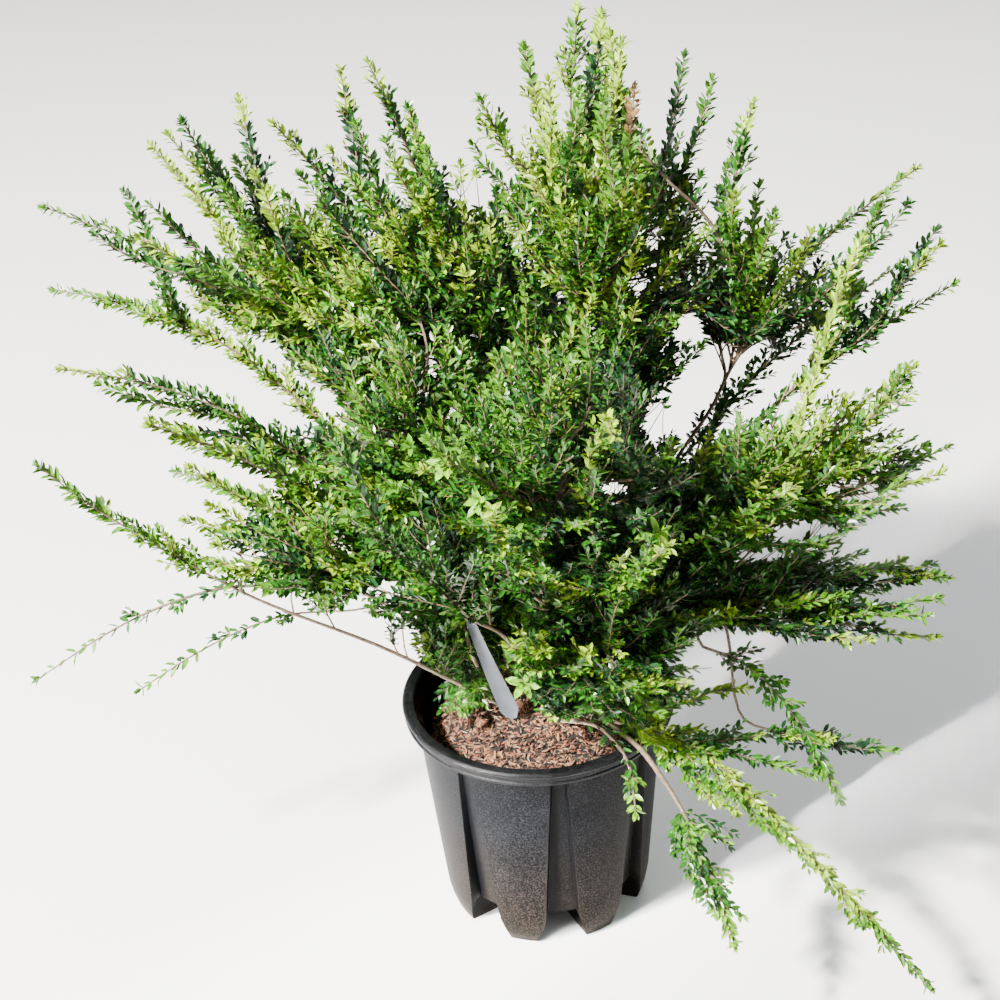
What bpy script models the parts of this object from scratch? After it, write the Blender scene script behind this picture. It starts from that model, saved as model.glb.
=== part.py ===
"""Box honeysuckle in a black nursery pot, a spreading evergreen shrub.

Metres, +Z up. The origin is the middle of the pot's flat underside and -Y is the front.
Azimuths are in degrees, counted from the front towards +X.
"""

import math

import bmesh
import bpy
from mathutils import Vector, noise
from mathutils.bvhtree import BVHTree

# Clearances between touching pieces
GAP = 0.0004
MASS_GAP = 0.0012

# A slanted line that meets no face edge-on, and the step that carries it past a face
TEST_RAY = Vector((0.131, 0.057, 0.990)).normalized()
TEST_STEP = 0.00001

# Pot: a tapering bucket with a rolled lip, eight panels that end in feet, and the channels between them
POT_PLACE = Vector((0.0, 0.0, 0.0))
POT_HEIGHT = 0.258
RIM_RADIUS = 0.145
LIP_RADIUS = 0.1314
SKIRT_RADIUS = 0.142
SKIRT_DROP = 0.0155
POT_WALL = 0.0024
RIM_ROUNDING = 0.004
SKIRT_WALL = 0.0025
UNDER_RIM_DROP = 0.006
BODY_TOP_RADIUS = 0.1312
BODY_FOOT_RADIUS = 0.1134
FOOT_BEND_HEIGHT = 0.030
FOOT_RADIUS = 0.1065
PANELS = 8
PANEL_PITCH = 360.0 / PANELS
CHANNEL_AZIMUTH = 7.0
CHANNEL_END_HEIGHT = 0.2415
CHANNEL_TOP_HEIGHT = 0.236
CHANNEL_FOOT_HEIGHT = 0.045
CHANNEL_TOP_ANGLE = 5.0
CHANNEL_FOOT_ANGLE = 16.0
CHANNEL_TOP_DEPTH = 0.003
CHANNEL_FOOT_DEPTH = 0.009
CHANNEL_SIDE_ANGLE = 0.9
CHANNEL_FLARE_ANGLE = 1.0
FOOT_HEIGHT = 0.037
FOOT_ANGLE = 17.0
FOOT_DRAFT = 0.003
HUB_TOP_RADIUS = 0.054
HUB_RADIUS = 0.050

# Bark compost in the pot: a level middle where the stems stand, falling towards the rim
SOIL_TOP = 0.250
SOIL_EDGE = 0.236
SOIL_LEVEL_RADIUS = 0.062
SOIL_SIDES = 24
SOIL_CLEARANCE = 0.0014
SOIL_LOOSE = 0.003
SOIL_LUMP_SIZE = 0.025

# Blank label strip stuck into the compost
LABEL_WIDTH = 0.025
LABEL_THICKNESS = 0.0009
LABEL_LENGTH = 0.126
LABEL_AZIMUTH = -30.0
LABEL_RADIUS = 0.053
LABEL_SIDE_LEAN = 20.0
LABEL_BACK_LEAN = 16.0
LABEL_CURL = 24.0
LABEL_STATIONS = 8
LABEL_CLEARANCE = 0.006

# Stems: they leave the compost on a small ring and end where they meet a mass
STOOL_RADIUS = 0.045
STOOL_RISE = 0.07
STEM_FOOT_RADIUS = 0.0065
STEM_TIP_RADIUS = 0.0030
STEM_CLEAR_LENGTH = 0.035
STEM_STEPS = 80
STEM_RINGS = 7
STEM_BEVEL = 1

# Foliage
LOBE_UNEVEN = 0.30
LOBE_LUMP_SIZE = 0.060
LOBE_FINE_UNEVEN = 0.12
LOBE_FINE_SIZE = 0.025
LOBE_SUBDIVISIONS = 3
LOBE_SEED_STEP = 7.3
FACING_LEAST = 0.0001
SPINDLE_SIDE = Vector((0.31, 0.17, 0.94))
SHOOT_SIDES = 6
SHOOT_RINGS = 5
SHOOT_BARE_PART = 0.42
SHOOT_UNEVEN = 0.25
SHOOT_LUMP_SIZE = 0.012
SHOOT_NECK = 0.40
SHOOT_NOSE = 0.30
SHOOT_STEP = 0.005
SHOOT_LEAST_RADIUS = 0.0025

# Masses of the crown: name, middle, half sizes
LOBES = [
    ("crown_heart", (0.03, 0.05, 0.52), (0.135, 0.12, 0.14)),
    ("crown_core_low", (-0.045, 0.085, 0.380), (0.10, 0.065, 0.070)),
    ("crown_top", (0.085, 0.11, 0.72), (0.115, 0.11, 0.125)),
    ("crown_top_left", (-0.085, 0.10, 0.69), (0.095, 0.10, 0.100)),
    ("crown_upper_left", (-0.225, 0.13, 0.69), (0.105, 0.10, 0.070)),
    ("crown_left", (-0.125, -0.03, 0.605), (0.095, 0.11, 0.090)),
    ("crown_lower_left", (-0.205, -0.07, 0.490), (0.120, 0.09, 0.046)),
    ("crown_front", (0.03, -0.15, 0.62), (0.130, 0.095, 0.120)),
    ("crown_front_low", (0.075, -0.115, 0.405), (0.105, 0.085, 0.100)),
    ("crown_right", (0.26, -0.06, 0.550), (0.125, 0.10, 0.075)),
    ("crown_right_low", (0.235, -0.02, 0.395), (0.120, 0.10, 0.050)),
    ("crown_upper_right", (0.250, 0.13, 0.635), (0.110, 0.09, 0.052)),
    ("crown_back_left", (-0.145, 0.20, 0.47), (0.115, 0.11, 0.095)),
    ("crown_back", (0.02, 0.25, 0.54), (0.130, 0.100, 0.120)),
    ("crown_back_right", (0.175, 0.18, 0.42), (0.120, 0.10, 0.065)),
]

# Leafy shoots: name, azimuth, reach, height, arch, sweep, girth.
# Arch lifts and sweep turns the middle of the shoot, as parts of its length.
SHOOTS = [
    ("shoot_left_trailing", -87, 0.415, 0.300, 0.25, -0.26, 0.010),
    ("shoot_left_hooked", -86, 0.515, 0.330, 0.35, -0.14, 0.012),
    ("shoot_left_low", -80, 0.465, 0.605, -0.12, 0.07, 0.019),
    ("shoot_left_mid", -90, 0.440, 0.665, 0.20, -0.18, 0.019),
    ("shoot_left_front", -70, 0.360, 0.665, 0.17, -0.06, 0.018),
    ("shoot_left_long", -108, 0.495, 0.680, 0.27, -0.11, 0.015),
    ("shoot_left_high", -113, 0.520, 0.750, 0.09, -0.30, 0.019),
    ("shoot_left_back", -127, 0.470, 0.780, 0.08, -0.04, 0.020),
    ("shoot_back_left_high", -137, 0.410, 0.820, 0.00, 0.13, 0.017),
    ("shoot_top_left", -118, 0.255, 0.855, 0.10, -0.22, 0.018),
    ("shoot_top_left_back", -149, 0.330, 0.850, 0.04, 0.07, 0.017),
    ("shoot_top_left_inner", -139, 0.200, 0.900, 0.04, -0.12, 0.018),
    ("shoot_top_inner", -166, 0.105, 0.875, 0.10, -0.17, 0.020),
    ("shoot_top_back", 175, 0.220, 0.885, 0.05, -0.11, 0.018),
    ("shoot_top", 157, 0.185, 0.935, 0.01, 0.02, 0.020),
    ("shoot_top_right_inner", 140, 0.155, 0.925, 0.02, -0.15, 0.018),
    ("shoot_top_right_back", 144, 0.310, 0.855, 0.05, -0.02, 0.019),
    ("shoot_top_right", 114, 0.255, 0.855, 0.03, -0.08, 0.020),
    ("shoot_right_high", 116, 0.460, 0.740, 0.04, 0.25, 0.019),
    ("shoot_right_back", 117, 0.455, 0.635, 0.11, 0.12, 0.017),
    ("shoot_right_long", 98, 0.430, 0.675, 0.11, 0.13, 0.015),
    ("shoot_right_thick", 74, 0.370, 0.670, -0.09, 0.02, 0.030),
    ("shoot_right_mid", 94, 0.425, 0.510, 0.09, 0.00, 0.018),
    ("shoot_right_low", 82, 0.415, 0.410, 0.20, 0.14, 0.020),
    ("shoot_right_cross", 55, 0.350, 0.255, 0.40, 0.35, 0.014),
    ("shoot_right_under", 71, 0.375, 0.250, -0.06, -0.07, 0.015),
    ("shoot_right_drooping", 47, 0.485, 0.130, 0.09, 0.05, 0.021),
    ("shoot_front_right_hanging", 33, 0.325, 0.140, 0.12, 0.17, 0.022),
    ("shoot_front_hanging", 28, 0.192, 0.225, 0.12, 0.30, 0.011),
    ("shoot_front_high", -5, 0.340, 0.685, 0.05, 0.00, 0.022),
    ("shoot_front_left", -28, 0.325, 0.655, 0.08, 0.00, 0.020),
    ("shoot_front_right", 22, 0.310, 0.610, 0.08, 0.00, 0.020),
    ("shoot_back_low", 172, 0.430, 0.420, 0.20, 0.00, 0.020),
    ("shoot_back_left", -150, 0.450, 0.560, 0.12, 0.00, 0.020),
    ("shoot_back_right", 152, 0.470, 0.600, 0.10, 0.05, 0.020),
    ("shoot_back_left_low", -118, 0.440, 0.430, 0.15, 0.00, 0.018),
]

# Stems: name, the shoot whose path it takes, and how far along that path it stays bare
STEMS = [
    ("stem_left", "shoot_left_low", 0.60),
    ("stem_top_left", "shoot_left_high", 0.60),
    ("stem_back", "shoot_back_left", 0.60),
    ("stem_top", "shoot_top", 0.60),
    ("stem_right", "shoot_right_thick", 0.60),
    ("stem_right_low", "shoot_right_drooping", 0.42),
]


def around(azimuth, radius, height):
    """The point at an azimuth in degrees, a distance from the pot's axis and a height."""
    turn = math.radians(azimuth)
    return Vector((radius * math.sin(turn), -radius * math.cos(turn), height))


def between(low, high, part):
    return low + (high - low) * part


def clear_scene():
    for old in list(bpy.data.objects):
        bpy.data.objects.remove(old, do_unlink=True)


def make_material(name, colour, roughness):
    material = bpy.data.materials.new(name)
    material.use_nodes = True
    shader = material.node_tree.nodes["Principled BSDF"]
    shader.inputs["Base Color"].default_value = (*colour, 1.0)
    shader.inputs["Roughness"].default_value = roughness
    shader.inputs["Metallic"].default_value = 0.0
    return material


def place_object(name, data, place, parent=None):
    """Link a new object with its origin at a place in the world; no data makes an empty."""
    obj = bpy.data.objects.new(name, data)
    bpy.context.scene.collection.objects.link(obj)
    obj.parent = parent
    obj.location = place if parent is None else place - parent.location
    return obj


def make_object(name, shape, material, place, parent=None, smooth_angle=40.0):
    """Turn a bmesh about its own origin into a named object whose faces point outwards."""
    bmesh.ops.recalc_face_normals(shape, faces=shape.faces)
    mesh = bpy.data.meshes.new(name)
    shape.to_mesh(mesh)
    shape.free()
    mesh.shade_smooth()
    mesh.set_sharp_from_angle(angle=math.radians(smooth_angle))
    mesh.materials.append(material)
    return place_object(name, mesh, place, parent)


def loft(rings):
    """Join rings of points into one closed body; the first and last ring hold one point each."""
    shape = bmesh.new()
    made = [[shape.verts.new(point) for point in ring] for ring in rings]
    for lower, upper in zip(made, made[1:]):
        count = max(len(lower), len(upper))
        for i in range(count):
            j = (i + 1) % count
            if len(lower) == 1:
                shape.faces.new((lower[0], upper[j], upper[i]))
            elif len(upper) == 1:
                shape.faces.new((lower[i], lower[j], upper[0]))
            else:
                shape.faces.new((lower[i], lower[j], upper[j]))
                shape.faces.new((lower[i], upper[j], upper[i]))
    return shape


def channel_ring(radius, height, depth, half_angle, skin, channel_height=None, channel_radius=None):
    """One ring of the pot's wall: two points of every channel's floor and four of each panel.

    The skin is how far inside the outer surface the ring lies. The channel's points may have a
    height and a radius of their own, which opens the channel under the pot.
    """
    floor_radius = radius - depth if channel_radius is None else channel_radius
    floor_height = height if channel_height is None else channel_height
    half_floor = half_angle + math.degrees(skin / radius)
    half_edge = half_floor + CHANNEL_SIDE_ANGLE
    panel_angle = PANEL_PITCH - 2 * half_edge
    ring = []
    for panel in range(PANELS):
        middle = CHANNEL_AZIMUTH + PANEL_PITCH * panel
        for angle in (middle - half_floor, middle + half_floor):
            ring.append(around(angle, floor_radius - skin, floor_height + skin))
        for part in (0, 1 / 3, 2 / 3, 1):
            angle = middle + half_edge + panel_angle * part
            ring.append(around(angle, radius - skin, height + skin))
    return ring


def body_radius(height):
    part = (height - FOOT_BEND_HEIGHT) / (POT_HEIGHT - SKIRT_DROP - FOOT_BEND_HEIGHT)
    return between(BODY_FOOT_RADIUS, BODY_TOP_RADIUS, part)


def pot_surface(skin):
    """Rings from the middle of the underside up to just under the rim."""
    top_half = CHANNEL_TOP_ANGLE / 2
    foot_half = CHANNEL_FOOT_ANGLE / 2
    ground_half = (PANEL_PITCH - FOOT_ANGLE) / 2 - CHANNEL_SIDE_ANGLE
    roof = body_radius(FOOT_HEIGHT) - CHANNEL_FOOT_DEPTH
    foot_wall = body_radius(CHANNEL_FOOT_HEIGHT)
    top_wall = body_radius(CHANNEL_TOP_HEIGHT)
    return [
        [Vector((0.0, 0.0, skin))],
        channel_ring(HUB_RADIUS, 0.0, 0.0, foot_half, skin),
        channel_ring(HUB_TOP_RADIUS, 0.0, 0.0, foot_half, skin, FOOT_HEIGHT),
        channel_ring(FOOT_RADIUS, 0.0, 0.0, ground_half, skin, FOOT_HEIGHT, roof - FOOT_DRAFT),
        channel_ring(BODY_FOOT_RADIUS, FOOT_BEND_HEIGHT, 0.0, foot_half + CHANNEL_FLARE_ANGLE, skin,
                     FOOT_HEIGHT + GAP, roof),
        channel_ring(foot_wall, CHANNEL_FOOT_HEIGHT, CHANNEL_FOOT_DEPTH, foot_half, skin),
        channel_ring(top_wall, CHANNEL_TOP_HEIGHT, CHANNEL_TOP_DEPTH, top_half, skin),
        channel_ring(body_radius(CHANNEL_END_HEIGHT), CHANNEL_END_HEIGHT, 0.0, top_half, skin),
    ]


def build_pot(material):
    """The bucket, its rolled lip with an open underside, and its thin walls in one body."""
    skirt_foot = POT_HEIGHT - SKIRT_DROP
    under_rim = POT_HEIGHT - UNDER_RIM_DROP
    shoulder = POT_HEIGHT - RIM_ROUNDING
    profile = [
        (body_radius(under_rim), under_rim),
        (SKIRT_RADIUS - SKIRT_WALL, under_rim),
        (SKIRT_RADIUS - SKIRT_WALL, skirt_foot),
        (SKIRT_RADIUS, skirt_foot),
        (RIM_RADIUS, shoulder),
        (RIM_RADIUS - RIM_ROUNDING, POT_HEIGHT),
        (LIP_RADIUS + RIM_ROUNDING, POT_HEIGHT),
        (LIP_RADIUS, shoulder),
    ]
    rim = [channel_ring(radius, height, 0.0, CHANNEL_TOP_ANGLE / 2, 0.0) for radius, height in profile]
    inside = pot_surface(POT_WALL)[::-1]
    return make_object("pot", loft(pot_surface(0.0) + rim + inside), material, POT_PLACE, None, 30.0)


def build_soil(material, pot):
    """The plug of compost, from the tunnels' roofs up to its loose top."""
    bottom = FOOT_HEIGHT + POT_WALL + SOIL_CLEARANCE
    top_radius = body_radius(SOIL_EDGE) - CHANNEL_TOP_DEPTH - POT_WALL - SOIL_CLEARANCE
    foot_radius = body_radius(FOOT_HEIGHT) - CHANNEL_FOOT_DEPTH - POT_WALL - 2 * SOIL_CLEARANCE
    slope_radius = between(SOIL_LEVEL_RADIUS, top_radius, 0.5)
    slope_height = between(SOIL_TOP, SOIL_EDGE, 0.5)

    def ring(radius, height, loose=0.0):
        points = [around(360.0 * i / SOIL_SIDES, radius, height) for i in range(SOIL_SIDES)]
        for point in points:
            point.z += loose * noise.noise(point / SOIL_LUMP_SIZE)
        return points

    rings = [
        [Vector((0.0, 0.0, bottom))],
        ring(foot_radius, bottom),
        ring(top_radius, SOIL_EDGE),
        ring(slope_radius, slope_height, SOIL_LOOSE),
        ring(SOIL_LEVEL_RADIUS, SOIL_TOP),
        [Vector((0.0, 0.0, SOIL_TOP))],
    ]
    return make_object("soil", loft(rings), material, POT_PLACE, pot)


def build_label(material, pot):
    """A blank strip that leans to the left and curls back, with its foot on the compost."""
    facing = Vector((0.0, -1.0, 0.0))
    point = Vector()
    step = LABEL_LENGTH / (LABEL_STATIONS - 1)
    sideways = math.tan(math.radians(LABEL_SIDE_LEAN))
    rings = []
    for i in range(LABEL_STATIONS):
        part = i / (LABEL_STATIONS - 1)
        back = math.tan(math.radians(LABEL_BACK_LEAN + LABEL_CURL * (part - 0.5)))
        along = Vector((-sideways, back, 1.0)).normalized()
        half = along.cross(facing).normalized() * (LABEL_WIDTH / 2)
        thick = along.cross(half).normalized() * (LABEL_THICKNESS / 2)
        rings.append([point + offset for offset in (-half - thick, half - thick, half + thick, thick - half)])
        point = point + along * step
    ends = [[sum(ring, Vector()) / 4] for ring in (rings[0], rings[-1])]
    foot = around(LABEL_AZIMUTH, LABEL_RADIUS, SOIL_TOP + LABEL_CLEARANCE)
    return make_object("label", loft([ends[0]] + rings + [ends[1]]), material, foot, pot)


class Taken:
    """The space that finished pieces fill, to keep the next one clear of them."""

    def __init__(self):
        self.trees = []

    def add(self, obj):
        finished = obj.evaluated_get(bpy.context.evaluated_depsgraph_get())
        shape = bmesh.new()
        shape.from_mesh(finished.to_mesh())
        shape.transform(finished.matrix_world)
        self.trees.append(BVHTree.FromBMesh(shape))
        shape.free()
        finished.to_mesh_clear()

    def holds(self, point):
        """Whether a point is inside a finished piece: a ray from it then crosses its skin an odd time."""
        for tree in self.trees:
            crossings = 0
            hit = tree.ray_cast(point, TEST_RAY)[0]
            while hit is not None:
                crossings += 1
                hit = tree.ray_cast(hit + TEST_RAY * TEST_STEP, TEST_RAY)[0]
            if crossings % 2 == 1:
                return True
        return False

    def room(self, point):
        """Free distance around a point, nothing when it is inside a piece."""
        if self.holds(point):
            return 0.0
        return min((tree.find_nearest(point)[3] for tree in self.trees), default=1.0)


def build_lobe(index, material, stool):
    """One uneven mass: a lumpy ellipsoid, flat only where a neighbour's share of the crown begins."""
    name, middle, halves = LOBES[index]
    centre = Vector(middle)
    seed = Vector((index * LOBE_SEED_STEP, 0.0, 0.0))

    def reach(sizes, direction):
        return 1.0 / math.sqrt(sum((direction[k] / sizes[k]) ** 2 for k in range(3)))

    walls = []
    for other, (_, other_middle, other_halves) in enumerate(LOBES):
        if other == index:
            continue
        offset = Vector(other_middle) - centre
        normal = offset.normalized()
        own = reach(halves, normal)
        theirs = reach(other_halves, -normal)
        walls.append((normal, offset.length * own / (own + theirs) - MASS_GAP / 2))

    shape = bmesh.new()
    bmesh.ops.create_icosphere(shape, subdivisions=LOBE_SUBDIVISIONS, radius=1.0)
    for vert in shape.verts:
        direction = vert.co.normalized()
        length = reach(halves, direction)
        at = centre + direction * length
        lump = LOBE_UNEVEN * noise.noise(at / LOBE_LUMP_SIZE + seed)
        lump += LOBE_FINE_UNEVEN * noise.noise(at / LOBE_FINE_SIZE + seed)
        length *= 1.0 + lump
        for normal, limit in walls:
            facing = direction.dot(normal)
            if facing > FACING_LEAST:
                length = min(length, limit / facing)
        vert.co = direction * length
    return make_object(name, shape, material, centre, stool, 60.0)


def shoot_path(azimuth, reach, height, arch, sweep, part):
    """A point on the curve that rises from the stool and bends over to a shoot's tip."""
    foot = around(azimuth, STOOL_RADIUS, SOIL_TOP + GAP)
    tip = around(azimuth, reach, height)
    chord = tip - foot
    flat = Vector((chord.x, chord.y, 0.0)).normalized()
    side = Vector((-flat.y, flat.x, 0.0))
    middle = (foot + tip) / 2 + Vector((0.0, 0.0, arch * chord.length)) + side * (sweep * chord.length)
    start_pull = foot.lerp(middle, 2 / 3) + Vector((0.0, 0.0, STOOL_RISE))
    end_pull = tip.lerp(middle, 2 / 3)
    rest = 1.0 - part
    return (foot * rest ** 3 + start_pull * (3 * part * rest ** 2)
            + end_pull * (3 * part ** 2 * rest) + tip * part ** 3)


def build_stem(name, shoot, bare, taken, material, stool):
    """The bare first part of a shoot's path, cut level at the compost and tapering to where it ends."""
    row = next(row for row in SHOOTS if row[0] == shoot)[1:6]
    foot = shoot_path(*row, 0.0)
    end = 0.0
    for i in range(STEM_STEPS + 1):
        part = i / STEM_STEPS
        point = shoot_path(*row, bare * part)
        radius = between(STEM_FOOT_RADIUS, STEM_TIP_RADIUS, part)
        if (point - foot).length > STEM_CLEAR_LENGTH and taken.room(point) < radius + MASS_GAP:
            break
        end = bare * part

    curve = bpy.data.curves.new(name, "CURVE")
    curve.dimensions = "3D"
    curve.bevel_depth = 1.0
    curve.bevel_resolution = STEM_BEVEL
    curve.use_fill_caps = True
    spline = curve.splines.new("POLY")
    spline.points.add(STEM_RINGS)
    lowest = SOIL_TOP + STEM_FOOT_RADIUS + GAP
    for i, point in enumerate(spline.points):
        part = max(0, i - 1) / (STEM_RINGS - 1)
        place = shoot_path(*row, end * part)
        place.z = foot.z if i == 0 else max(place.z, lowest)
        point.co = (*(place - foot), 1.0)
        point.radius = between(STEM_FOOT_RADIUS, STEM_TIP_RADIUS, part)
    curve.materials.append(material)
    return place_object(name, curve, foot, stool)


def spindle_ring(point, ahead, radius):
    """A ring of points across a shoot, pulled in unevenly."""
    across = ahead.cross(SPINDLE_SIDE).normalized()
    upward = across.cross(ahead)
    ring = []
    for k in range(SHOOT_SIDES):
        turn = 2 * math.pi * k / SHOOT_SIDES
        spoke = (across * math.cos(turn) + upward * math.sin(turn)) * radius
        lump = abs(noise.noise((point + spoke) / SHOOT_LUMP_SIZE))
        ring.append(point + spoke * (1.0 - SHOOT_UNEVEN * lump))
    return ring


def build_shoot(name, azimuth, reach, height, arch, sweep, girth, taken, material, stool):
    """A leafy shoot outside the crown: a slim uneven spindle from where its path comes free to its tip."""
    row = (azimuth, reach, height, arch, sweep)
    length = (shoot_path(*row, 1.0) - shoot_path(*row, 0.0)).length
    steps = int(length / SHOOT_STEP)
    line = [shoot_path(*row, i / steps) for i in range(steps + 1)]
    room = [taken.room(point) for point in line]
    first = steps
    while first > steps * SHOOT_BARE_PART and room[first - 1] > SHOOT_LEAST_RADIUS + MASS_GAP:
        first -= 1
    free = range(first + 1, steps)
    spread = max(2, len(free) // (SHOOT_RINGS - 1))
    rings = [[line[first]]]
    for k in range(SHOOT_RINGS):
        part = k / (SHOOT_RINGS - 1)
        i = free[round(part * (len(free) - 1))]
        near = min(room[max(first, i - spread):i + spread + 1])
        wanted = girth * min(1.0, SHOOT_NECK + 2.0 * part, SHOOT_NOSE + 1.5 * (1.0 - part))
        radius = max(SHOOT_LEAST_RADIUS, min(wanted, near - MASS_GAP))
        rings.append(spindle_ring(line[i], (line[i + 1] - line[i - 1]).normalized(), radius))
    rings.append([line[-1]])
    start = line[first].copy()
    rings = [[point - start for point in ring] for ring in rings]
    return make_object(name, loft(rings), material, start, stool)


def main():
    clear_scene()
    plastic = make_material("pot_black", (0.020, 0.021, 0.022), 0.55)
    compost = make_material("compost_brown", (0.19, 0.10, 0.055), 0.95)
    white = make_material("label_white", (0.62, 0.64, 0.66), 0.5)
    bark = make_material("bark_tan", (0.24, 0.15, 0.085), 0.85)
    leaf = make_material("leaf_green", (0.045, 0.12, 0.02), 0.45)
    tip = make_material("leaf_bright", (0.16, 0.30, 0.04), 0.45)

    taken = Taken()
    pot = build_pot(plastic)
    taken.add(pot)
    taken.add(build_soil(compost, pot))
    taken.add(build_label(white, pot))
    stool = place_object("stool", None, Vector((0.0, 0.0, SOIL_TOP)), pot)
    for index in range(len(LOBES)):
        taken.add(build_lobe(index, leaf, stool))
    for name, shoot, bare in STEMS:
        taken.add(build_stem(name, shoot, bare, taken, bark, stool))
    for row in SHOOTS:
        taken.add(build_shoot(*row, taken, tip, stool))


if __name__ == "__main__":
    main()
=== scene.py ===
"""Box honeysuckle in a black nursery pot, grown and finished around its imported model.

Metres, +Z up. The origin is the middle of the pot's flat underside and -Y is the front.
Azimuths are in degrees, counted from the front towards +X.
"""

import math
import random

import bmesh
import bpy
import numpy as np
from mathutils import Matrix, Vector, noise
from mathutils.bvhtree import BVHTree


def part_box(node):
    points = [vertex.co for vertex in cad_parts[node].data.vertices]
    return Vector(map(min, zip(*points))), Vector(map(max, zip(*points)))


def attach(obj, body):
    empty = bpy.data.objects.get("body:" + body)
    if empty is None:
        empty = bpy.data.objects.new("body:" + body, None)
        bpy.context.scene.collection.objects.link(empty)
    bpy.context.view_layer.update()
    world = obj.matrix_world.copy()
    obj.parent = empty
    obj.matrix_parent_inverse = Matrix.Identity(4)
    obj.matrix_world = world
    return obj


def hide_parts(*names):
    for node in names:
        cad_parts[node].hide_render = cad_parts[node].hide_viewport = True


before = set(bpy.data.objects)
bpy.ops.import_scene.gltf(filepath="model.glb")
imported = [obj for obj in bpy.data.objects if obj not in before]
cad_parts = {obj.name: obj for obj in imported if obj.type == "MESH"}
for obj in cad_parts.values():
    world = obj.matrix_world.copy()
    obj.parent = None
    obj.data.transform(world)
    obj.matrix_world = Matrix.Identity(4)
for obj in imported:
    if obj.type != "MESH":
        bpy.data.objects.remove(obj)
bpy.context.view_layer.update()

bl_info = {
    "name": "Potted Box Honeysuckle",
    "version": (1, 0, 0),
    "blender": (4, 5, 0),
    "location": "View3D > Sidebar > Shrub",
    "description": "Grows a spreading evergreen shrub in a nursery pot",
    "category": "Object",
}

UP = Vector((0.0, 0.0, 1.0))
LOBES = sorted(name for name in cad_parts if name.startswith("crown_"))
SHOOTS = sorted(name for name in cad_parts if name.startswith("shoot_"))
STEMS = sorted(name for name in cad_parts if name.startswith("stem_"))

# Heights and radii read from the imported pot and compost
POT_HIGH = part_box("pot")[1]
POT_HEIGHT = POT_HIGH.z
RIM_RADIUS = POT_HIGH.x
SOIL_LOW, SOIL_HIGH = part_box("soil")
SOIL_TOP = SOIL_HIGH.z
SOIL_RADIUS = SOIL_HIGH.x
STOOL = Vector((0.0, 0.0, SOIL_TOP))

# Small shoots at the back and sides: azimuth, reach and height of the tip
SMALL_SHOOTS = [
    (-161, 0.317, 0.800), (159, 0.278, 0.900), (127, 0.250, 0.864), (109, 0.450, 0.695),
    (127, 0.336, 0.700), (-115, 0.430, 0.770), (-170, 0.380, 0.640), (165, 0.330, 0.740),
    (-145, 0.360, 0.700), (135, 0.360, 0.520), (75, 0.400, 0.560), (-135, 0.400, 0.520),
    (180, 0.400, 0.520), (150, 0.410, 0.440), (-155, 0.410, 0.430), (-18, 0.262, 0.704),
    (15, 0.270, 0.720), (-40, 0.270, 0.700), (48, 0.260, 0.670), (-60, 0.330, 0.560),
]

# Small shoots that the photograph shows: place of the tip in it, and how far behind the pot's axis
SEEN_SHOOTS = [
    (182, 122, 0.12), (168, 135, 0.08), (205, 150, 0.14), (222, 185, 0.06), (255, 175, 0.12),
    (285, 195, 0.10), (318, 185, 0.14), (330, 150, 0.12), (140, 238, 0.06), (190, 262, 0.02),
    (700, 175, 0.12), (735, 195, 0.06), (775, 218, 0.02), (760, 185, 0.10), (728, 165, 0.12),
    (870, 225, 0.08), (900, 178, 0.10), (908, 205, 0.04), (862, 240, 0.00), (940, 245, 0.04),
    (905, 385, -0.04), (880, 402, -0.08), (858, 425, -0.12), (925, 447, -0.04), (905, 478, -0.10),
    (940, 575, -0.06), (938, 598, -0.10), (925, 615, -0.12), (885, 590, -0.04), (935, 637, -0.08),
    (870, 640, -0.14), (862, 568, 0.02), (845, 595, -0.10), (900, 560, 0.04), (905, 605, 0.00),
    (175, 440, 0.02), (190, 468, -0.04), (210, 505, -0.06), (185, 520, 0.04), (235, 430, -0.04),
    (150, 420, 0.08), (262, 460, -0.08), (240, 500, 0.06), (225, 530, -0.02), (100, 385, 0.04),
    (601, 14, 0.14), (590, 60, 0.16), (622, 42, 0.10), (634, 90, 0.06), (548, 80, 0.10),
    (578, 90, 0.02), (602, 100, 0.00), (408, 108, 0.14), (425, 150, 0.08), (355, 125, 0.10),
    (385, 140, 0.08), (300, 175, 0.06), (95, 235, 0.08), (830, 738, -0.14), (812, 775, -0.17),
    (660, 190, 0.10), (812, 232, 0.04), (150, 205, 0.10), (790, 845, -0.22), (735, 812, -0.18),
    (700, 775, -0.14), (712, 668, -0.05), (748, 688, -0.08), (236, 160, 0.16), (110, 300, 0.14),
]

# Shoots that differ from the rest: how full, leaf tint, tip tint, bare share, and the end of the side twigs;
# the leaf tints are partly painted light and shade, bright on lit shoots and deep on shaded ones
SHOOT_HABITS = {
    "shoot_right_drooping": (0.8, "bright", "fresh", -0.35, 0.85),
    "shoot_front_right_hanging": (1.6, "mid", "vivid", 0.30, 0.72),
    "shoot_front_hanging": (0.5, "mid", "vivid", -1.4, 0.85),
    "shoot_right_under": (1.0, "deep", "fresh", 0.1, 0.85),
    "shoot_right_cross": (1.0, "mid", "fresh", 0.1, 0.85),
    "shoot_left_hooked": (0.3, "mid", "fresh", 0.2, 0.85),
    "shoot_left_trailing": (0.3, "mid", "fresh", 0.2, 0.85),
    "shoot_right_thick": (1.3, "fresh", "bright", 0.0, 0.85),
    "shoot_top": (1.0, "fresh", "bright", 0.0, 0.85),
    "shoot_left_mid": (1.0, "mid", "bright", None, 0.85),
}
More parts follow.
